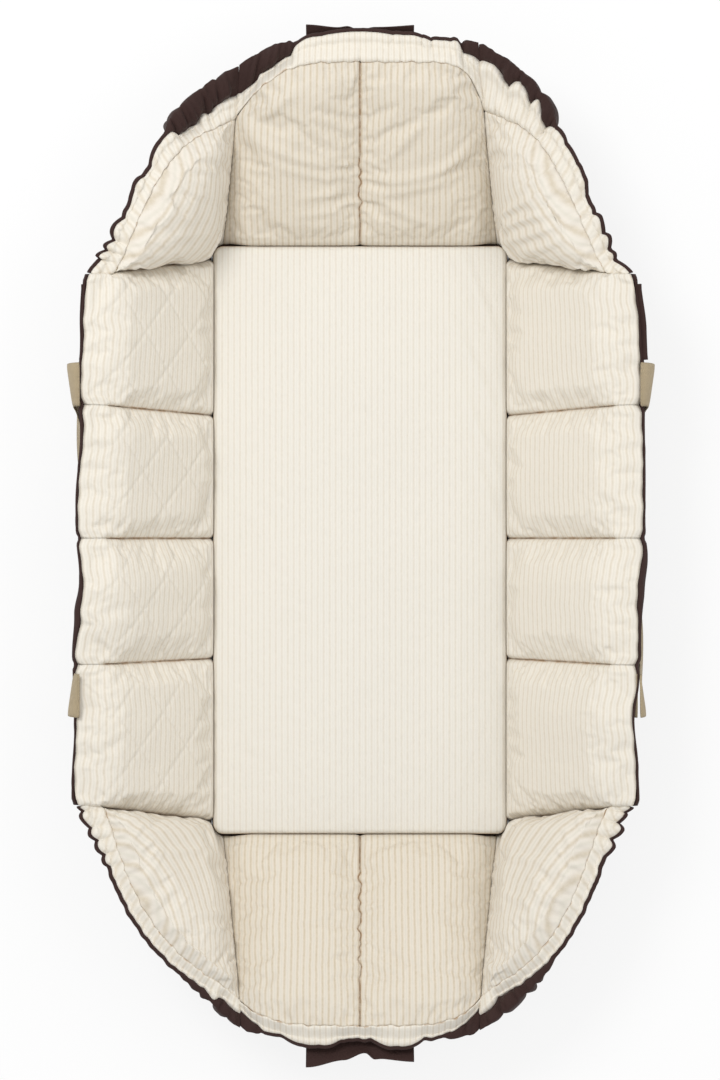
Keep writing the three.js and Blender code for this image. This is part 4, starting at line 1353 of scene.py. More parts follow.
def wall_pad(name, wall, low, high, top, thickness, folds, side, ends):
    """A pad between two lines that run up a wall and the seam or rim above it. Ends has the corner that each
    upright edge meets and the corner's side there, or none."""
    width = high(MID_SLOPE) - low(MID_SLOPE)
    across, share = grid_shares(width, PAD_SLOPE, GRID_PITCH)
    seam = top(across)
    up = lerp(WALL_START, seam - SEAM_GAP, share)
    near_line, far_line = low(up) + SEAM_GAP, high(up) - SEAM_GAP
    along = lerp(near_line, far_line, across)
    near, far, below, above = along - near_line, far_line - along, up - WALL_START, seam - SEAM_GAP - up
    swell = 1 + PAD_CROWN * np.sin(np.pi * across) * np.sin(np.pi * share)
    seam_share = SEAM_SHARE if side else END_CENTRE_SHARE
    crown, banded, threads = 1, 1, []
    for distance, end in ((near, ends[0]), (far, ends[1])):
        crown = crown * border_crown(distance, end[1] if end else None, seam_share)
        dent = 1 - BAND_DENT * np.exp(-((distance / BAND_DENT_REACH) ** 2))
        banded = banded * (edge_crown(distance, BAND_END_SHARE) if end else dent)
        threads.append(distance + NO_THREAD_OR_SHADE * (end is not None and end[1] == "end"))
    # thread is the distance to the seam's tan line, which the material paints as thread and crease shade.
    thread = np.minimum(*threads)
    if side:
        on_band = smooth((up - BEND_HEIGHT) / BEND_RUN)
        crown = lerp(crown, banded, on_band) * round_over(above, RIM_ROUND) * round_over(below, BOTTOM_ROUND)
        wanted = side_profile(up, thickness * swell) * crown
        thread = thread + BAND_THREAD_AND_SHADE_SHIFT * on_band
        thread = np.minimum.reduce([thread, below, above + RIM_THREAD_AND_SHADE_SHIFT])
        profile = side_profile(up[:, 0], thickness) * round_over(up[:, 0], BOTTOM_ROUND)
        arc = np.concatenate([[0], np.cumsum(np.hypot(np.diff(up[:, 0]), np.diff(profile)))])
        stripes, other = arc[:, None] + 0 * along, along
    else:
        crown = crown * soft_crown(above, TOP_SEAM_SHARE) * round_over(below, BOTTOM_ROUND)
        wanted = thickness * crown * swell
        thread = np.minimum.reduce([thread, below, above + hidden_thread_and_shade(along)])
        taken = cloth_taken(far, thickness, END_CENTRE_SHARE) - cloth_taken(near, thickness, END_CENTRE_SHARE)
        stripes, other = along + taken, up
    room = wall.room(up, along)
    depth = -ROOM_BLEND * np.log(np.exp(-wanted / ROOM_BLEND) + np.exp(-room / ROOM_BLEND))
    depth = np.clip(depth, 0, wanted)
    front = wall.point(-(PAD_BACK + depth), along, up)
    for end, column, distance in ((ends[0], 0, near), (ends[1], -1, far)):
        if end:
            front = mitred(front, column, end[0].ridge(end[1], up[:, column], 1), distance)
    back = wall.point(-PAD_BACK, along, up)
    flat = np.stack([stripes, other, thread], axis=-1)
    pad = Pad(name, front, back, flat, np.stack([along, up], axis=-1), folds)
    pad.free = np.minimum.reduce([near, far, below - HIDDEN_FOOT, above])
    pad.room = wall.kept_clear
    return pad


def border_crown(distance, which, low):
    """A pad's height in from an upright edge: beside a corner's pad, or else at a seam whose share is low."""
    if which == "end":
        return soft_crown(distance, RIDGE_SHARES[which])
    return edge_crown(distance, RIDGE_SHARES[which] if which else low)


def hidden_thread_and_shade(place):
    """How far a gathered seam's tan line, its thread and painted crease shade, is hidden by the cloth along
    it.
    """
    return THREAD_AND_SHADE_HIDING * smooth(0.5 + THREAD_AND_SHADE_CONTRAST * ripple(place, SEEDS["thread"], THREAD_AND_SHADE_WAVES))


def mitred(front, column, border, distance):
    """A front whose border column is moved to other places, with its surroundings."""
    move = border - front[:, column]
    return front + move[:, None] * (1 - smooth(distance / MITRE_REACH))[..., None]


def edge_folds(draws, low, high, top, puckers):
    """Puckers along the two upright seams and the top seam of a pad."""
    low_foot, high_foot = (low(WALL_START), WALL_START), (high(WALL_START), WALL_START)
    low_top, high_top = (low(top), top), (high(top), top)
    folds = pucker_folds(draws, low_foot, low_top, (1, 0), **puckers)
    folds += pucker_folds(draws, high_foot, high_top, (-1, 0), **puckers)
    folds += pucker_folds(draws, low_top, high_top, (0, -1), **puckers)
    return folds


def bend_folds(low, high):
    """The notch that each seam makes at the band's inner edge."""
    folds = []
    for line, inward in ((low, 1), (high, -1)):
        root = line(BEND_HEIGHT)
        for rise in BEND_NOTCH_RISES:
            tip = (root + inward * BEND_NOTCH_REACH, BEND_HEIGHT + rise)
            middle = (root + inward * BEND_NOTCH_MIDDLE, BEND_HEIGHT + rise * BEND_NOTCH_RISE_SHARE)
            folds.append(((root, BEND_HEIGHT), middle, tip, BEND_NOTCH_WIDTH, -BEND_NOTCH_DEPTH))
    return folds


def side_wall_pads(wall, side, quilted):
    """The four pads of a side wall with their part of the band. Pad 1 is nearest the head."""
    headward = wall.turn == 0
    middle = [lambda up, n=n: side_seam(n, headward, up) for n in ((0, 1, 2) if headward else (2, 1, 0))]
    seams = [lambda up: -side_edge(up), *middle, side_edge]
    pads = []
    for slot in range(4):
        number = 4 - slot if headward else slot + 1
        draws = np.random.default_rng(SEEDS["side_pad"] + number + SEED_STEP * headward)
        low, high = seams[slot], seams[slot + 1]
        folds = edge_folds(draws, low, high, BEND_HEIGHT, SIDE_PUCKERS) + bend_folds(low, high)
        name = f"{side}_wall_pad_{number}"
        wobble = lambda across, n=number: rim_height(across, RIM_SEED_STEP * headward + n)
        ends = corner_at(wall, -1) if slot == 0 else None, corner_at(wall, 1) if slot == 3 else None
        pad = wall_pad(f"{name}_cloth", wall, low, high, wobble, SIDE_PAD_THICKNESS, folds, True, ends)
        pad.quilted = quilted
        pad.nodes = (name, f"{side}_wall_band")
        pads.append(pad)
    return pads


def rim_height(across, seed):
    """The cream edge of a side rim over one pad: a little wavy, and lower at the pad's seams."""
    ends = np.exp(-((np.minimum(across, 1 - across) / RIM_NOTCH_SHARE) ** 2))
    wave = ripple(across, seed, RIM_WAVES) * np.sin(np.pi * across) ** RIM_WAVE_POWER
    return SIDE_HEIGHT - RIM_NOTCH * ends + RIM_WAVE * wave


def zigzag(wall):
    """The wandering centre seam of an end wall."""
    start, finish = ZIGZAG_RANGE[wall.body]

    def seam(up):
        up = np.asarray(up, float)
        strength = smooth((up - start) / ZIGZAG_FADE) * smooth((finish - up) / ZIGZAG_FADE)
        return ZIGZAG_DEPTH * strength * ripple(up, SEEDS["zigzag"] + len(wall.body), ZIGZAG_WAVES)

    return seam


def end_wall_pads(wall, end):
    """The two pads of an end wall."""
    centre = zigzag(wall)
    start, finish = ZIGZAG_RANGE[wall.body]
    height = END_SEAM_HEIGHTS[wall.body]
    centre_seam = (0, start), (0, min(finish, height))
    top_seam = (-END_TOP_HALF, height), (END_TOP_HALF, height)
    pads = []
    for offset, low, high in ((0.0, lambda up: -end_edge(up), centre), (0.5, centre, end_edge)):
        world_x = wall.point(0, low(MID_SLOPE) + high(MID_SLOPE), MID_SLOPE)[0]
        side = "left" if world_x < 0 else "right"
        draws = np.random.default_rng(SEEDS["end_pad"] + len(pads) + SEED_STEP * (end == "head"))
        top = lambda across, offset=offset: end_seam(wall, offset + across / 2)
        inward = -1 if offset == 0 else 1
        folds = edge_folds(draws, low, high, height, END_PUCKERS)
        folds += pucker_folds(draws, *top_seam, (0, -1), **END_TOP_PUCKERS)
        folds += pucker_folds(draws, *centre_seam, (inward, 0), **CENTRE_PUCKERS)
        folds += in_metres(END_FOLDS[end])
        name = f"{end}_pad_{side}"
        ends = (corner_at(wall, -1), None) if offset == 0 else (None, corner_at(wall, 1))
        pad = wall_pad(f"{name}_cloth", wall, low, high, top, END_PAD_THICKNESS, folds, False, ends)
        pad.nodes = (name,)
        pads.append(pad)
    return pads


# Corner gussets

class Corner:
    """A gusset between a side wall and an end wall. Across runs from the side wall to the end wall."""

    def __init__(self, name, side_wall, end_wall, sign_x, sign_y, bows):
        self.name = name
        self.side_wall = side_wall
        self.end_wall = end_wall
        self.signs = np.array([sign_x, sign_y, 1.0])
        self.side_sign = sign_x * sign_y
        self.end_sign = -sign_x * sign_y
        self.seam_bow, self.rim_bow = bows
        self.width = self.distance((0, 1), (1, 1))
        self.foot_width = self.distance((0, 0), (1, 0))
        self.slope = self.distance((0.5, 0), (0.5, 1))
        self.length = self.distance((0, 2), (1, 2))

    def side_spot(self, up):
        return self.side_wall.point(0, (side_edge(up) + WALL_GAP) * self.side_sign, up)

    def end_spot(self, up):
        return self.end_wall.point(0, (end_edge(up) + WALL_GAP) * self.end_sign, up)

    def bowed(self, start, end, bow, across):
        """A line between two places with a level bow outward, which peaks nearer the end than the start."""
        outward = unit(np.array([abs(end[1] - start[1]), abs(start[0] - end[0]), 0.0])) * self.signs
        outward[2] = 0
        share = across ** BOW_LEANS[self.name]
        return lerp(start, end, across[..., None]) + outward * (bow * np.sin(np.pi * share))[..., None]

    def point(self, across, level):
        """A place on the gusset: level nought is at the base, one at the pads' seam and two at the rim."""
        across = np.clip(across, 0, 1)
        turn = across * np.pi / 2
        foot_x = self.signs[0] * (right.hinge - BASE_CORNER_RADIUS * (1 - np.cos(turn)))
        foot_y = self.signs[1] * (head.hinge - BASE_CORNER_RADIUS * (1 - np.sin(turn)))
        low = np.stack([foot_x, foot_y, np.full_like(turn, right.level)], axis=-1)
        starts = self.side_spot(SIDE_PAD_TOP), self.end_spot(END_SEAM_CORNERS[self.name])
        finishes = self.side_spot(SIDE_HEIGHT), self.end_spot(END_RIM_CORNERS[self.name])
        seam = self.bowed(*starts, self.seam_bow, across)
        rim = self.bowed(*finishes, self.rim_bow, across)
        level = level[..., None]
        return np.where(level <= 1, lerp(low, seam, level), lerp(seam, rim, level - 1))

    def outward(self, across, level):
        across_step = self.point(across + SLOPE_STEP, level) - self.point(across - SLOPE_STEP, level)
        level_step = self.point(across, level + SLOPE_STEP) - self.point(across, level - SLOPE_STEP)
        return unit(np.cross(across_step, level_step)) * self.signs[0] * self.signs[1]

    def offset(self, across, level, out):
        return self.point(across, level) + self.outward(across, level) * np.asarray(out)[..., None]

    def ridge(self, which, up, towards_wall):
        """Where a wall's pad and the gusset's meet over their shared edge: on the plane between them."""
        if which == "side":
            wall, edge, across = self.side_wall, self.side_spot(up), RIDGE_INSET
            top, thickness = SIDE_PAD_TOP, SIDE_PAD_THICKNESS
            limit = BAND_END_SHARE * side_profile(up, thickness)
        else:
            wall, edge, across = self.end_wall, self.end_spot(up), 1 - RIDGE_INSET
            top, thickness = END_SEAM_CORNERS[self.name], END_PAD_THICKNESS
            limit = RIDGE_SHARES[which] * thickness * soft_crown(top - up, TOP_SEAM_SHARE)
        height = RIDGE_SHARES[which] * thickness * round_over(up, RIDGE_RISES[which])
        height = PAD_BACK + np.minimum(height, limit)
        own = wall.point(-1.0, 0.0, 0.0) - wall.point(0.0, 0.0, 0.0)
        gusset = -self.outward(np.full_like(up, across), np.clip(up / top, RIDGE_LOWEST, 1))
        between = unit(own + gusset)
        reach = height / (between * own).sum(-1)
        return edge + between * reach[..., None] + unit(gusset - own) * SEAM_GAP * towards_wall

    def distance(self, first, second):
        ends = self.point(np.array([first[0], second[0]], float), np.array([first[1], second[1]], float))
        return np.linalg.norm(ends[1] - ends[0])

    def casing_slope(self, across):
        seam, rim = (self.point(across, np.full_like(across, level)) for level in (1.0, 2.0))
        return np.linalg.norm(rim - seam, axis=-1)

    def lift(self, across):
        """How far above the side pads' height the corner's own seam runs."""
        return CORNER_SEAM_LIFT * np.sin(np.pi * across) + wander(across)


def corner_pad(corner):
    """The puffy pad of one gusset."""
    rows = grid_shares(corner.width, corner.slope, GRID_PITCH)[0].shape
    across, share = np.meshgrid(shares(rows[1] | 1), shares(rows[0]))
    height = corner.slope
    top = 1 + corner.lift(across) / corner.casing_slope(across)
    level = lerp(CORNER_PAD_START / height, top, share)
    width = np.interp(level, (0, 1), (corner.foot_width, corner.width))
    near, far = across * width, (1 - across) * width
    above, below = (top - level) * height, level * height - CORNER_PAD_START
    crown = edge_crown(near, RIDGE_SHARES["side"]) * soft_crown(far, RIDGE_SHARES["end"])
    crown = crown * soft_crown(above, CORNER_SEAM_SHARE) * round_over(below, BOTTOM_ROUND)
    thick = np.minimum(CORNER_PAD_THICKNESS, CORNER_PAD_SHARE * width)
    swell = 1 + CORNER_PAD_CROWN * np.sin(np.pi * across) * np.sin(np.pi * share)
    depth = thick * crown * swell
    base = corner.offset(across, level, np.full_like(across, -PAD_BACK))
    front = corner.offset(across, level, -(PAD_BACK + depth))
    front = mitred(front, 0, corner.ridge("side", level[:, 0] * SIDE_PAD_TOP, -1), near)
    front = mitred(front, -1, corner.ridge("end", level[:, -1] * END_SEAM_CORNERS[corner.name], -1), far)
    middle = (across - 0.5) * width
    # The distance to the seam's tan line of thread and painted crease shade; the seam at the end wall has
    # none.
    thread = np.minimum.reduce([near, far + NO_THREAD_OR_SHADE, above + hidden_thread_and_shade(middle), below])
    wide, long = np.abs(base[..., 0]), np.abs(base[..., 1])
    bend = CORNER_GRAIN_BEND * (wide - CORNER_GRAIN_MIDDLE[0]) * (long - CORNER_GRAIN_MIDDLE[1])
    flat = np.stack([wide + CORNER_GRAIN * long + bend, long - CORNER_GRAIN * wide, thread], axis=-1)
    draws = np.random.default_rng(SEEDS["corner_pad"] + len(corner.name) + int(corner.signs[0]))
    half = corner.width / 2
    folds = in_metres(CORNER_FOLDS[corner.name])
    folds += pucker_folds(draws, (-half, height), (half, height), (0, -1), **CORNER_TOP_PUCKERS)
    inward, upward = CORNER_SIDE_SLANT
    for sign in (-1, 1):
        seam = (0, CORNER_SIDE_START), (sign * half, height)
        folds += pucker_folds(draws, *seam, (-sign * inward, upward), **CORNER_SIDE_PUCKERS)
    pad = Pad(f"{corner.name}_pad", front, base, flat, np.stack([middle, level * height], axis=-1), folds)
    pad.free = np.minimum.reduce([near, far, above, below])
    pad.corner = corner
    return pad


def corner_at(wall, sign):
    """The corner at one end of a wall, and which of its sides meets the wall."""
    for corner in CORNERS:
        if corner.side_wall is wall and corner.side_sign == sign:
            return corner, "side"
        if corner.end_wall is wall and corner.end_sign == sign:
            return corner, "end"


CORNERS = [
    Corner("head_right", right, head, 1, 1, (0.024, 0.028)),
    Corner("head_left", left, head, -1, 1, (0.020, 0.026)),
    Corner("foot_right", right, foot, 1, -1, (0.020, 0.024)),
    Corner("foot_left", left, foot, -1, -1, (0.020, 0.023)),
]


# Gathered casings. A rim says where a casing's stretch lies.

class EndRim:
    def __init__(self, wall, end):
        self.wall = wall
        self.name = end
        self.node = end
        self.half_length = end_edge(END_SEAM_HEIGHTS[wall.body])
        self.length = 2 * self.half_length

    def height(self, across):
        low, high = (END_RIM_CORNERS[corner_at(self.wall, sign)[0].name] for sign in (-1, 1))
        fall = np.abs(2 * across - 1) ** RIM_FALL
        rim = lerp(END_RIM_HEIGHTS[self.wall.body], lerp(low, high, across), fall)
        return rim - end_seam(self.wall, across)

    def seam_depth(self, across):
        """How far in front of the wall the pads' seam lies."""
        from_centre = np.abs(2 * across - 1) * self.length / 2
        from_end = self.length / 2 - from_centre
        crown = edge_crown(from_centre, END_CENTRE_SHARE) * soft_crown(from_end, RIDGE_SHARES["end"])
        return PAD_BACK + END_PAD_THICKNESS * TOP_SEAM_SHARE * crown

    def stripes(self, across, rise):
        return (2 * across - 1) * self.half_length * GATHER_STRETCH + 0 * rise, rise + 0 * across

    def point(self, out, across, rise):
        up = end_seam(self.wall, across) + rise
        along = (2 * across - 1) * (end_edge(up) + WALL_GAP / 2)
        return self.wall.point(out, along, up)


class CornerRim:
    def __init__(self, corner):
        self.corner = corner
        self.name = corner.name
        self.node = f"{corner.name}_corner"
        self.length = corner.length

    def height(self, across):
        return self.corner.casing_slope(across) - self.corner.lift(across)

    def level(self, across, rise):
        return 1 + (rise + self.corner.lift(across)) / self.corner.casing_slope(across)

    def seam_depth(self, across):
        near, far = across * self.corner.width, (1 - across) * self.corner.width
        crown = edge_crown(near, RIDGE_SHARES["side"]) * soft_crown(far, RIDGE_SHARES["end"])
        return PAD_BACK + CORNER_PAD_THICKNESS * CORNER_SEAM_SHARE * crown

    def point(self, out, across, rise):
        out, across, rise = np.broadcast_arrays(out, across, rise)
        return self.corner.offset(across, self.level(across, rise), out)

    def stripes(self, across, rise):
        place = self.corner.point(across, self.level(across, rise))
        return np.abs(place[..., 0]) * GATHER_STRETCH, place[..., 1]


class Gathers:
    """How a rim's cloth is gathered: where its cream edge and its rim run, and its lobes."""

    def __init__(self, rim, low, high, seed):
        self.rim = rim
        self.length = rim.length
        depths = [depth for _, depth in EDGES[rim.name]]
        pleats = [share * rim.length for index, (share, depth) in enumerate(EDGES[rim.name])
                  if 0 < index < len(depths) - 1 and depths[index - 1] < depth > depths[index + 1]]
        self.seam_lobes = Lobes(rim.length, low, high, seed)
        self.rim_lobes = Lobes(rim.length, low, high, seed + 1, pleats)
        self.outer_lobes = Lobes(rim.length, *BARE_LOBES, seed + 2)

    def loose(self, across):
        """How much of the full gathering a place has."""
        return through(FULLNESS.get(self.rim.name, ((0, 1), (1, 1))), across)

    def edge(self, across):
        """How high the cream edge and the dark rim stand."""
        place = across * self.length
        height = self.rim.height(across)
        small = SMALL_NOTCH * self.loose(across) * self.rim_lobes.drop(place)
        cream = height - RIM_STEP - scalloped(EDGES[self.rim.name], across) - small
        cream = np.maximum(cream, LOWEST_EDGE)
        own = height - BARE_NOTCH * self.outer_lobes.drop(place)
        dark = lerp(cream + RIM_STEP, own, through(BARED[self.rim.name], across))
        return cream, np.maximum(dark, cream + RIM_STEP)


def scalloped(keys, share):
    """How far below the rim a gathered edge runs: its lobes have round tips, and the pleats are sharp."""
    places, depths = np.array(keys).T
    slots = np.clip(np.searchsorted(places, share, side="right") - 1, 0, len(places) - 2)
    start, finish = depths[slots] / MILLIMETRES, depths[slots + 1] / MILLIMETRES
    inside = np.clip((share - places[slots]) / (places[slots + 1] - places[slots]), 0, 1)
    into_pleat = finish > start
    return lerp(start, finish, np.where(into_pleat, inside**LOBE_ROUND, 1 - (1 - inside) ** LOBE_ROUND))


def spline(keys, count):
    """Places on the smooth curve through a stack of keys."""
    place = np.linspace(0, len(keys) - 1, count)
    slot = np.clip(place.astype(int), 0, len(keys) - 2)
    share = (place - slot)[:, None]
    padded_keys = np.concatenate([2 * keys[:1] - keys[1:2], keys, 2 * keys[-1:] - keys[-2:-1]])
    a, b, c, d = (padded_keys[slot + i] for i in range(4))
    return b + share / 2 * (c - a + share * (2 * a - 5 * b + 4 * c - d + share * (3 * (b - c) + d - a)))


def casing_lining(rim, gathers):
    """The cream layer of a casing, from the pads' seam to the cream edge."""
    columns = round(rim.length / FINE_PITCH) | 1
    across, share = np.meshgrid(shares(columns), shares(LINING_ROWS))
    place = across * rim.length
    loose = gathers.loose(across)
    edge, _ = gathers.edge(across)
    rise = lerp(LINING_START, edge, share)
    mixing_start, mixing_run = LINING_MIXING
    both_lobes = gathers.seam_lobes, gathers.rim_lobes
    crests = [lobes.arch(place) * lobes.size(place) for lobes in both_lobes]
    crest = lerp(*crests, smooth((share - mixing_start) / mixing_run))
    crest = lerp(LINING_FLAT_CREST, crest, loose)
    puff = np.sin(np.pi / 2 * np.clip(rise / LINING_PUFF_RUN, 0, 1))
    puff = puff * round_over(edge - rise, LINING_EDGE_ROUND)
    waist = 1 - LINING_WAIST * np.sin(np.pi * share) ** 2
    slanted = place + LINING_CREASE_SLANT * rise
    creases = LINING_CREASE * np.abs(ripple(slanted, SEEDS["lining"], LINING_CREASE_WAVES)) * loose
    swell = LINING_PUFF * lerp(LINING_LEAST_CREST, 1, crest) * waist
    depth = puff * (LINING_LEAST_PUFF + swell + creases)
    depth = depth + lerp(rim.seam_depth(across), LINING_BACK, smooth(share / LINING_BACK_SHARE))
    lip = smooth((share - LINING_LIP_SHARE) / (1 - LINING_LIP_SHARE))
    out = LINING_BACK * lip - depth
    surface = rim.point(out, across, rise)
    stripes, other = rim.stripes(across, rise)
    # The seam's tan line of thread and painted crease shade, partly hidden by the gathers.
    flat = np.stack([stripes, other, rise + hidden_thread_and_shade(place)], axis=-1)
    return sheet_body(surface, flat)


def casing_outer(rim, gathers, puff):
    """The dark layer: from under the cream edge over the rim and down the outside."""
    columns = round(rim.length / FINE_PITCH) | 1
    across = shares(columns)
    place = across * rim.length
    cream, dark = gathers.edge(across)
    lobes = gathers.outer_lobes
    crest = lobes.arch(place, OUTER_SHARPNESS) * lobes.size(place)
    ends = smooth(np.minimum(across, 1 - across) / OUTER_ENDS)
    shown = dark - cream
    bare_from, bare_run = OUTER_BARE_RANGE
    bared = smooth((shown - bare_from) / bare_run)
    bulge = lerp(END_OUTER_PUFF, puff * lerp(OUTER_LEAST_CREST, 1, crest), ends * bared)
    inner = -np.minimum(OUTER_DENT, shown * OUTER_DENT_SHARE) * crest * ends
    none = 0 * dark
    inner_rises = [lerp(cream, dark, share) for share in OUTER_INNER_SHARES]
    back_rises = [dark * share for share in OUTER_BACK_SHARES]
    rises = np.stack([cream - OUTER_TUCK, cream, *inner_rises, dark, *back_rises, none - OUTER_FOOT])
    bulges = [bulge * share for share in OUTER_BULGE_SHARES]
    outs = np.stack([none, none, inner, inner * OUTER_DENT_FADE, none, *bulges, none])
    rise, out = spline(rises, OUTER_ROWS), spline(outs + np.array(OUTER_OUTS)[:, None], OUTER_ROWS)
    slant = place[None, :] + BARE_CREASE_SLANT * (rise - cream)
    in_front = smooth(np.linspace(1, -1, OUTER_ROWS)[:, None] / OUTER_FRONT_FADE + OUTER_FRONT_REACH)
    inside = smooth((rise - cream) / BARE_CREASE_RUN) * in_front
    out = out + BARE_CREASE * bared * ends * inside * ripple(slant, SEEDS["bare"], BARE_CREASE_WAVES)
    surface = rim.point(out, across[None, :], rise)
    arc = np.cumsum(np.hypot(np.gradient(rise, axis=0), np.gradient(out, axis=0)), axis=0)
    flat = np.stack(np.broadcast_arrays(place[None, :] * GATHER_STRETCH, arc, 1.0), axis=-1)
    return sheet_body(surface, flat)


def casing_elastic(rim, gathers):
    rows, columns = grid_shares(rim.length, ELASTIC_WIDTH, ELASTIC_PITCH)[0].shape
    across, share = np.meshgrid(np.linspace(*ELASTIC_ENDS, columns | 1), shares(rows))
    top = np.minimum((rim.height(across) + ELASTIC_WIDTH) / 2, gathers.edge(across)[1]) - ELASTIC_DROP
    rise = top - (1 - share) * ELASTIC_WIDTH
    surface = rim.point(np.full_like(across, ELASTIC_OUT), across, rise)
    flat = np.stack([across * rim.length, rise, np.ones_like(rise)], axis=-1)
    return sheet_body(surface, flat, ELASTIC_THICKNESS)


# Outer cloth

def side_shell(wall, seed):
    """The dark cloth of a side wall, with its hem round the rim."""
    columns = round(2 * SIDE_FOOT_HALF / SHELL_PITCH)
    across = np.linspace(-1, 1, columns)[None, :]
    below_hem = np.linspace(SHELL_START, SIDE_HEIGHT - HEM_WIDTH, SIDE_SHELL_ROWS)
    up = np.concatenate([below_hem, SIDE_HEIGHT - HEM_RISES])[:, None]
    along = across * side_edge(np.minimum(up, SIDE_HEIGHT))
    wave = ripple(along, seed, SIDE_SHELL_WAVES) * smooth(up / SIDE_SHELL_FADE)
    arch = np.sin(np.pi * np.clip(up / SIDE_HEIGHT, 0, 1) * SIDE_SHELL_ARCH)
    out = SHELL_WAVE * (1 + wave) * arch
    for centre, width, swell in BULGES[wall.body]:
        bulge = swell * np.exp(-(((along - centre) / width) ** 2))
        out = out + bulge * smooth((up - BULGE_START) / BULGE_RUN)
    drop = RIM_NOTCH * rim_notches(wall, along) + RIM_DROP * ripple(along, seed + 1, RIM_DROP_WAVES)
    up = up - drop * smooth((up - RIM_DROP_START) / RIM_DROP_RUN)
    hem = smooth((up - (SIDE_HEIGHT - HEM_WIDTH)) / HEM_STEP)
    hem = hem * round_over(SIDE_HEIGHT + HEM_OVER - up, HEM_ROUND)
    inner = wall.point(-HEM_BACK + 0 * out, along, up)
    outer = wall.point(out + HEM_FRONT + HEM_THICKNESS * hem, along, up)
    flat = np.stack(np.broadcast_arrays(along, up, 1.0), axis=-1)
    return Body(inner, outer, flat, joined=False)


def rim_notches(wall, along):
    """One at the pad seams of a side rim and nought a few millimetres off."""
    seams = [side_seam(number, wall.turn == 0, SIDE_HEIGHT) for number in range(len(SIDE_SEAMS))]
    total = 0 * along
    for seam in (-SIDE_TOP_HALF, *seams, SIDE_TOP_HALF):
        total = total + np.exp(-(((along - seam) / RIM_NOTCH_REACH) ** 2))
    return total


def end_shell(wall, seed):
    """The dark cloth of an end wall below its casing."""
    columns = round(2 * END_FOOT_HALF / SHELL_PITCH) | 1
    across, share = np.meshgrid(shares(columns), shares(END_SHELL_ROWS))
    up = lerp(SHELL_START, end_seam(wall, across) + SHELL_OVERLAP, share)
    along = (2 * across - 1) * end_edge(up)
    out = SHELL_WAVE * (1 + ripple(along, seed, END_SHELL_WAVES)) * np.sin(np.pi * share) ** END_SHELL_POWER
    pleats = END_PLEAT * ripple(along, seed + 1, END_PLEAT_WAVES)
    out = out + pleats * smooth((share - END_PLEAT_START) / END_PLEAT_RUN)
    surface = wall.point(out, along, up)
    return sheet_body(surface, np.stack([along, up, np.ones_like(up)], axis=-1))


def corner_shell(corner, seed):
    """The dark cloth outside a gusset, drawn up towards its casing."""
    across, share = np.meshgrid(*(shares(count) for count in CORNER_SHELL_GRID))
    top = 1 + (corner.lift(across) + SHELL_OVERLAP) / corner.casing_slope(across)
    level = lerp(CORNER_SHELL_START, top, share)
    width = lerp(corner.foot_width, corner.width, np.clip(level, 0, 1))
    place = across * width
    inward = np.minimum(across, 1 - across)
    fade = smooth(inward * CORNER_SHELL_STEEPNESS) * np.sin(np.pi * share) ** CORNER_SHELL_POWER
    out = fade * (CORNER_SHELL_OUT + CORNER_SHELL_WAVE * ripple(place, seed, CORNER_SHELL_WAVES))
    pleats = CORNER_PLEAT * ripple(across * corner.width, seed + 1, CORNER_PLEAT_WAVES)
    pleats = pleats * smooth((share - CORNER_PLEAT_START) / CORNER_PLEAT_RUN)
    out = out + pleats * smooth(inward * CORNER_PLEAT_STEEPNESS)
    surface = corner.offset(across, level, out)
    flat = np.stack([(across - 0.5) * width, level * corner.slope, np.ones_like(level)], axis=-1)
    return sheet_body(surface, flat)


# Mattress and base

def rounded_grid(half_x, half_y, radius, pitch):
    """A grid over a rectangle with round corners, and each place's distance from its edge."""
    columns, rows = round(2 * half_x / pitch) | 1, round(2 * half_y / pitch) | 1
    x, y = np.meshgrid(half_x * np.linspace(-1, 1, columns), half_y * np.linspace(-1, 1, rows))
    over_x = np.clip((np.abs(x) - (half_x - radius)) / radius, 0, 1)
    over_y = np.clip((np.abs(y) - (half_y - radius)) / radius, 0, 1)
    reach = np.maximum(over_x, over_y)
    shrink = radius * reach / np.maximum(np.hypot(over_x, over_y), TINY)
    in_corner = over_x * over_y > 0
    round_x = np.sign(x) * (half_x - radius + over_x * shrink)
    round_y = np.sign(y) * (half_y - radius + over_y * shrink)
    inward = np.where(in_corner, radius * (1 - reach), np.minimum(half_x - np.abs(x), half_y - np.abs(y)))
    return np.where(in_corner, round_x, x), np.where(in_corner, round_y, y), inward


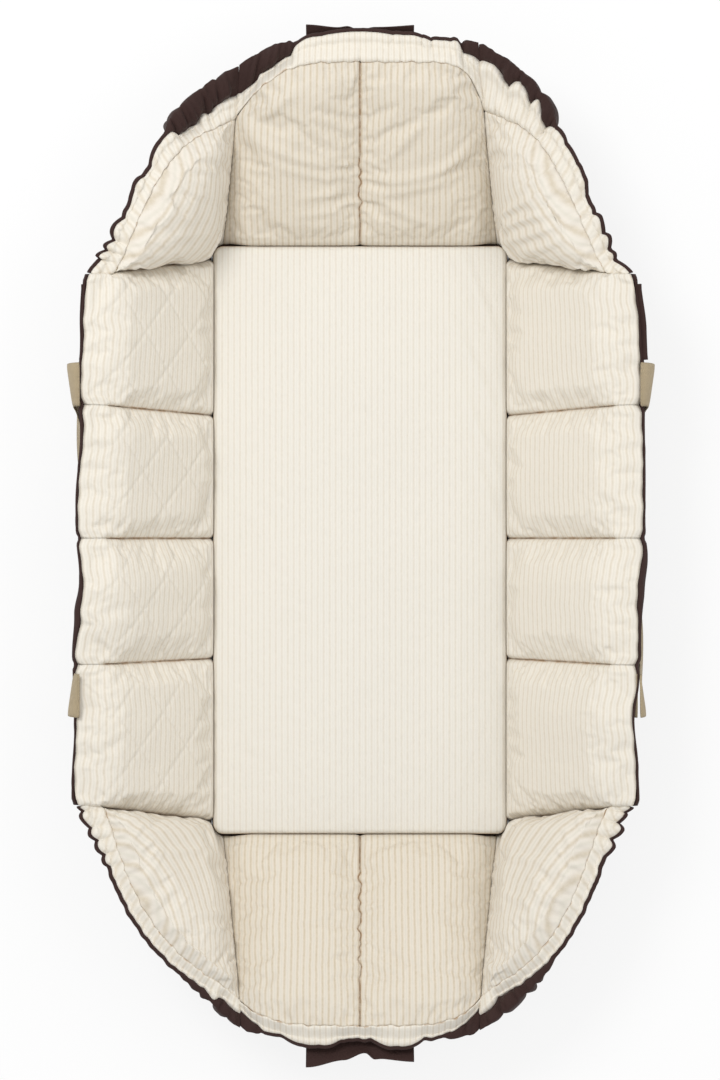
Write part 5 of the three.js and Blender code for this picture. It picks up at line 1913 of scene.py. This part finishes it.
def mattress_body():
    half_x, half_y = mattress_high.x, mattress_high.y
    x, y, inward = rounded_grid(half_x, half_y, MATTRESS_CORNER, MATTRESS_PITCH)
    edge = mattress_low.z + MATTRESS_SEAM_RISE
    crown = 1
    for place, half, power in zip((x, y), (half_x, half_y), MATTRESS_CROWN_POWERS):
        crown = crown * (1 - (place / half) ** power).clip(0) ** MATTRESS_CROWN_FALL
    top = edge + MATTRESS_TURN * round_over(inward, MATTRESS_EDGE_ROUND)
    top = top + (mattress_high.z - edge - MATTRESS_TURN) * crown
    draws = np.random.default_rng(SEEDS["mattress"])
    folds = in_metres(MATTRESS_FOLDS)
    long_end, short_end = half_y - MATTRESS_PUCKER_INSET, half_x - MATTRESS_PUCKER_INSET
    for side in (-1, 1):
        ends = (side * half_x, -long_end), (side * half_x, long_end)
        folds += pucker_folds(draws, *ends, (-side, 0), **MATTRESS_LONG_PUCKERS)
        ends = (-short_end, side * half_y), (short_end, side * half_y)
        folds += pucker_folds(draws, *ends, (0, -side), **MATTRESS_SHORT_PUCKERS)
    top = top + fold_height(x, y, folds) * smooth((inward - MATTRESS_FOLD_START) / MATTRESS_FOLD_RUN)
    bottom = mattress_low.z + MATTRESS_SEAM_RISE * (1 - round_over(inward, MATTRESS_EDGE_ROUND / 2))
    front, back = np.stack([x, y, top], axis=-1), np.stack([x, y, bottom], axis=-1)
    # The distance in from the edge also sets where the seam's tan line, of thread and painted crease shade,
    # falls.
    return Body(front, back, np.stack([x, y, inward], axis=-1), joined=True)


def panel_body():
    """The dark cloth under the board."""
    low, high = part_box("base_panel")
    x, y, _ = rounded_grid(high.x, high.y, BASE_CORNER_RADIUS, PANEL_PITCH)
    front = np.stack([x, y, np.full_like(x, high.z)], axis=-1)
    wave = PANEL_WAVE * ripple(x + y, SEEDS["panel"], PANEL_WAVES) ** 2
    back = np.stack([x, y, low.z + wave], axis=-1)
    return Body(front, back, np.stack([x, y, np.ones_like(x)], axis=-1), joined=False)


def piping():
    """The cord in the base's seam, in its own dark cover."""
    low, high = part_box("base_piping")
    radius = (high.z - low.z) / 2
    half_x, half_y = high.x - radius, high.y - radius
    loop = []
    for corner, (sign_x, sign_y) in enumerate(((1, 1), (-1, 1), (-1, -1), (1, -1))):
        for turn in np.linspace(0, np.pi / 2, PIPING_TURN_STEPS) + corner * np.pi / 2:
            x = sign_x * (half_x - BASE_CORNER_RADIUS) + BASE_CORNER_RADIUS * np.cos(turn)
            y = sign_y * (half_y - BASE_CORNER_RADIUS) + BASE_CORNER_RADIUS * np.sin(turn)
            loop.append((x, y, low.z + radius))
    closed = np.array([*loop, loop[0]])
    run = np.concatenate([[0], np.cumsum(np.linalg.norm(np.diff(closed, axis=0), axis=-1))])
    places = np.linspace(0, run[-1], round(run[-1] / PIPING_PITCH), endpoint=False)
    centres = np.stack([np.interp(places, run, closed[:, axis]) for axis in range(3)], axis=-1)
    points, faces = tube(centres, radius)
    piece = add_mesh("base_piping_cover", points, faces)
    piece.data.shade_smooth()
    return piece


# Webbing and straps

def riser_body(wall, along):
    """Webbing sewn up the outside of a side wall, which folds over into the handle at its top."""
    low, high = wall.span(wall.body.replace("_wall", "_riser_head"))
    out = (low[0] + high[0]) / 2
    ups = np.linspace(low[2], high[2], RISER_ROWS)
    sway = RISER_SWAY * np.sin(ups / RISER_SWAY_RUN)
    centres = wall.point(out + sway, np.full_like(ups, along), ups)
    wides = np.broadcast_to(unit(wall.point(0, 1.0, 0) - wall.point(0, 0.0, 0)), centres.shape)
    return ribbon_body(centres, wides, high[1] - low[1], high[0] - low[0])


def handle_body(wall):
    """The free loop of webbing, hung from its two pivots: flat at its ends and on edge at its lowest."""
    pivot = pivot_of(wall.body.replace("_wall", "_handle_swing"))
    rows, columns = HANDLE_GRID
    turn = shares(rows) * np.pi

    def centre(turn):
        shift = HANDLE_SHIFT * np.sin(turn) ** HANDLE_POWER
        depth = (HANDLE_DROP + HANDLE_THICKNESS / 2) * np.sin(turn)
        place = HANDLE_BOW * np.sin(2 * turn) ** 2 - shift, HANDLE_SPACING / 2 * np.cos(turn)
        return np.stack([*place, HANDLE_THICKNESS / 2 - depth], axis=-1)

    centres = centre(turn)
    before, beyond = np.maximum(turn - HANDLE_TURN_STEP, 0), np.minimum(turn + HANDLE_TURN_STEP, np.pi)
    tangent = unit(centre(beyond) - centre(before))
    outward = np.array([1.0, 0, 0])
    in_plane = unit(np.cross(outward, tangent))
    twist = (np.pi / 2 * np.sin(turn) ** HANDLE_POWER)[:, None]
    wides = in_plane * np.cos(twist) + outward * np.sin(twist)
    head_kick, foot_kick = HANDLE_KICKS[wall.body]
    kicks = np.stack([bump_at(turn, KICK_REACH), bump_at(np.pi - turn, KICK_REACH)])
    if pivot[0] < 0:
        kicks = kicks[::-1]
    centres = centres + outward * (kicks[0] * head_kick + kicks[1] * foot_kick)[:, None]
    slant = (kicks[0] - kicks[1]) * KICK_SLANTS[wall.body] * np.sign(wides[:, 1])
    wides = unit(wides + outward * slant[:, None])
    side = math.copysign(1, pivot[0])
    facing = np.array([side, side, 1.0])
    centres = centres * facing + np.array(pivot)
    return ribbon_body(centres, wides * facing, HANDLE_WIDTH, HANDLE_THICKNESS, columns)


def bump_at(turn, reach):
    """A bump that starts at nought, is one at the reach and fades away beyond it."""
    share = turn / reach
    return share * np.exp(1 - share)


def fastener_body(wall):
    """The dark flap outside a side rim, stitched down along its lower edge."""
    low, high = wall.span(wall.body.replace("_wall", "_fastener"))
    width, height = high[1] - low[1], high[2] - low[2]
    across, share = grid_shares(width, height, FASTENER_PITCH)
    along = lerp(low[1], high[1], across)
    up = lerp(low[2], high[2], share) - FASTENER_DROPS[wall.body]
    lift = FASTENER_LIFT * np.sin(np.pi * across * FASTENER_LIFT_ARCH + FASTENER_LIFT_SHIFT) * share**2
    from_edge = np.minimum(across, 1 - across) * width
    hem = FASTENER_HEM * (1 - smooth(from_edge / FASTENER_HEM_WIDTH))
    middle = (low[0] + high[0]) / 2 + lift
    half = (high[0] - low[0]) / 2 - FASTENER_THINNING + hem
    front, back = wall.point(middle + half, along, up), wall.point(middle - half, along, up)
    return Body(front, back, np.stack([along, up, np.ones_like(up)], axis=-1), joined=False)


def strap_body(wall, end):
    """The flap at the middle of an end: up the outside of the casing and a little past the rim."""
    across, share = np.meshgrid(*(shares(count) for count in STRAP_GRID))
    along = (across - 0.5) * STRAP_WIDTH
    rise, out = spline(np.stack([STRAP_RISES, STRAP_OUTS], axis=-1), len(share)).T[..., None]
    reach = through(STRAP_TIPS[end], across[0])
    rise = rise + reach * smooth((share - STRAP_TIP_START) / (1 - STRAP_TIP_START))
    wave = STRAP_WAVE * np.sin(2 * np.pi * (across * STRAP_WAVE_TURNS + STRAP_WAVE_SHIFT))
    wave = wave * smooth((share - STRAP_WAVE_START) / (1 - STRAP_WAVE_START))
    fold = STRAP_FOLD * np.exp(-(((across - STRAP_FOLD_PLACE) / STRAP_FOLD_WIDTH) ** 2))
    fold = fold * smooth((share - STRAP_FOLD_START) / STRAP_FOLD_RUN)
    out = out + wave * (1 if end == "foot" else -1) + fold
    up = END_SEAM_HEIGHTS[wall.body] + rise
    surface = wall.point(out, along, up)
    return sheet_body(surface, np.stack([along, rise, np.ones_like(rise)], axis=-1), STRAP_THICKNESS)


def in_metres(folds):
    """Folds whose spots are in millimetres, in metres."""
    result = []
    for *spots, width, height in folds:
        result.append((*(tuple(v / MILLIMETRES for v in spot) for spot in spots), width, height))
    return result


# Assembly

def place_on(piece, body, *nodes):
    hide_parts(*nodes)
    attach(piece, body)


def corner_blend(piece, corner, half):
    """Bakes half a corner piece's placing into its mesh. It also works out the wall beside it and the ends of
    its bend line, which go unused.
    """
    body, bend = (corner.side_wall.body, SIDE_BEND) if half == 0 else (corner.end_wall.body, END_BEND)
    start, finish = (tuple(corner.signs * spot) for spot in bend)
    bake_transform(piece)
    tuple(start)
    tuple(finish)


def add_halves(body, node, corner, material, slot):
    """A corner's body as two pieces that take a node's place."""
    names = [f"{node}_{half}" for half in ("side_half", "end_half")]
    pieces = body.halves(names, material, slot)
    for half, piece in enumerate(pieces):
        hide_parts(node)
        corner_blend(piece, corner, half)
    return pieces


def add_pads(materials):
    wall_pads = []
    for wall, side in SIDE_WALLS:
        wall_pads += [(wall, "side", pad) for pad in side_wall_pads(wall, side, quilted=side == "left")]
    for wall, end in END_WALLS:
        wall_pads += [(wall, "end", pad) for pad in end_wall_pads(wall, end)]
    corner_pads = [corner_pad(corner) for corner in CORNERS]
    inflate([pad for _, _, pad in wall_pads] + corner_pads)
    for wall, use, pad in wall_pads:
        piece = pad.finish().piece(pad.name, materials[use], "cream_lining")
        place_on(piece, wall.body, *pad.nodes)
        wall.squash(piece, 0.55)
    for pad in corner_pads:
        body, node = pad.finish(), f"{pad.corner.name}_corner_pad"
        for piece in add_halves(body, node, pad.corner, materials["corner"], "cream_lining"):
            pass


def casing_width(layer, gathers, across):
    """The width of a casing's layer when flat, over some of the places across its rim."""
    cream, dark = gathers.edge(across)
    if layer == "casing_lining":
        return cream.mean() + LINING_HEM
    if layer == "casing_outer":
        return OUTER_TURN + dark.mean() + (dark - cream).mean()
    return ELASTIC_WIDTH


def add_casings(materials):
    rims = [EndRim(wall, end) for wall, end in END_WALLS] + [CornerRim(corner) for corner in CORNERS]
    for number, rim in enumerate(rims):
        corner = isinstance(rim, CornerRim)
        lobes = CORNER_LOBES if corner else END_LOBES
        gathers = Gathers(rim, *lobes, SEEDS["casing"] + SEED_STEP * number)
        outer = casing_outer(rim, gathers, CORNER_OUTER_PUFF if corner else END_OUTER_PUFF)
        layers = (
            (casing_lining(rim, gathers), "casing_lining", "side", "cream_lining"),
            (outer, "casing_outer", "dark", "dark_outer"),
            (casing_elastic(rim, gathers), "elastic", "elastic", "elastic"),
        )
        for body, layer, material, slot in layers:
            node = f"{rim.node}_{layer}"
            if corner:
                pieces = add_halves(body, node, rim.corner, materials[material], slot)
            else:
                pieces = [body.piece(f"{node}_cloth", materials[material], slot)]
                place_on(pieces[0], rim.wall.body, node)
            for half, piece in enumerate(pieces):
                across = (half + shares(CASING_SAMPLES)) / len(pieces)
                length = rim.length * LAYER_LENGTHS[layer] / len(pieces)
                flat = (casing_width(layer, gathers, across), length)


def add_shell(body, node, wall, materials):
    shell = body.piece(f"{node}_cloth", materials["dark"], "dark_outer")
    place_on(shell, wall.body, node)


def add_outer_cloth(materials):
    for number, (wall, side) in enumerate(SIDE_WALLS):
        add_shell(side_shell(wall, SEEDS["side_shell"] + number), f"{side}_wall_shell", wall, materials)
    for number, (wall, end) in enumerate(END_WALLS):
        add_shell(end_shell(wall, SEEDS["end_shell"] + number), f"{end}_shell", wall, materials)
    for number, corner in enumerate(CORNERS):
        body, node = corner_shell(corner, SEEDS["corner_shell"] + number), f"{corner.name}_corner_shell"
        for piece in add_halves(body, node, corner, materials["dark"], "dark_outer"):
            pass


def add_webbing(materials):
    for wall, side in SIDE_WALLS:
        for end in ("head", "foot"):
            low, high = wall.span(f"{side}_riser_{end}")
            riser = riser_body(wall, (low[1] + high[1]) / 2)
            piece = riser.piece(f"{side}_riser_{end}_webbing", materials["webbing"], "webbing")
            place_on(piece, wall.body, f"{side}_riser_{end}")
        handle = handle_body(wall).piece(f"{side}_handle_webbing", materials["webbing"], "webbing")
        place_on(handle, f"{side}_handle", f"{side}_handle")
        flap = fastener_body(wall).piece(f"{side}_fastener_flap", materials["dark"], "dark_outer")
        place_on(flap, wall.body, f"{side}_fastener")
        low, high = wall.span(f"{side}_fastener")
    for wall, end in END_WALLS:
        strap = strap_body(wall, end).piece(f"{end}_strap_flap", materials["dark"], "dark_outer")
        place_on(strap, wall.body, f"{end}_strap")


def add_base(materials):
    mattress = mattress_body().piece("mattress_cushion", materials["mattress"], "cream_lining")
    place_on(mattress, "base", "mattress_cover", "mattress_core")
    panel = panel_body().piece("base_panel_cloth", materials["dark"], "dark_outer")
    place_on(panel, "base", "base_panel")
    cord = piping()
    cord.data.materials.append(materials["dark"])
    place_on(cord, "base", "base_piping")
    board = frame["nodes"]["base_board"]
    board.data.materials.clear()
    board.data.materials.append(materials["board"])


add_camera()
add_studio()
add_floor()
MATERIALS = {
    **{use: striped_cotton(use) for use in LIT_AND_SHADED_CREAMS},
    "dark": dark_cotton(),
    "webbing": woven_webbing(),
    "elastic": plain_stuff("ribbed_elastic", ELASTIC_CREAM, roughness=0.8, grain=900.0, depth=0.0004),
    "board": plain_stuff("grey_board", BOARD_GREY, roughness=0.9, grain=600.0, depth=0.0003),
}
add_base(MATERIALS)
add_pads(MATERIALS)
add_casings(MATERIALS)
add_outer_cloth(MATERIALS)
add_webbing(MATERIALS)
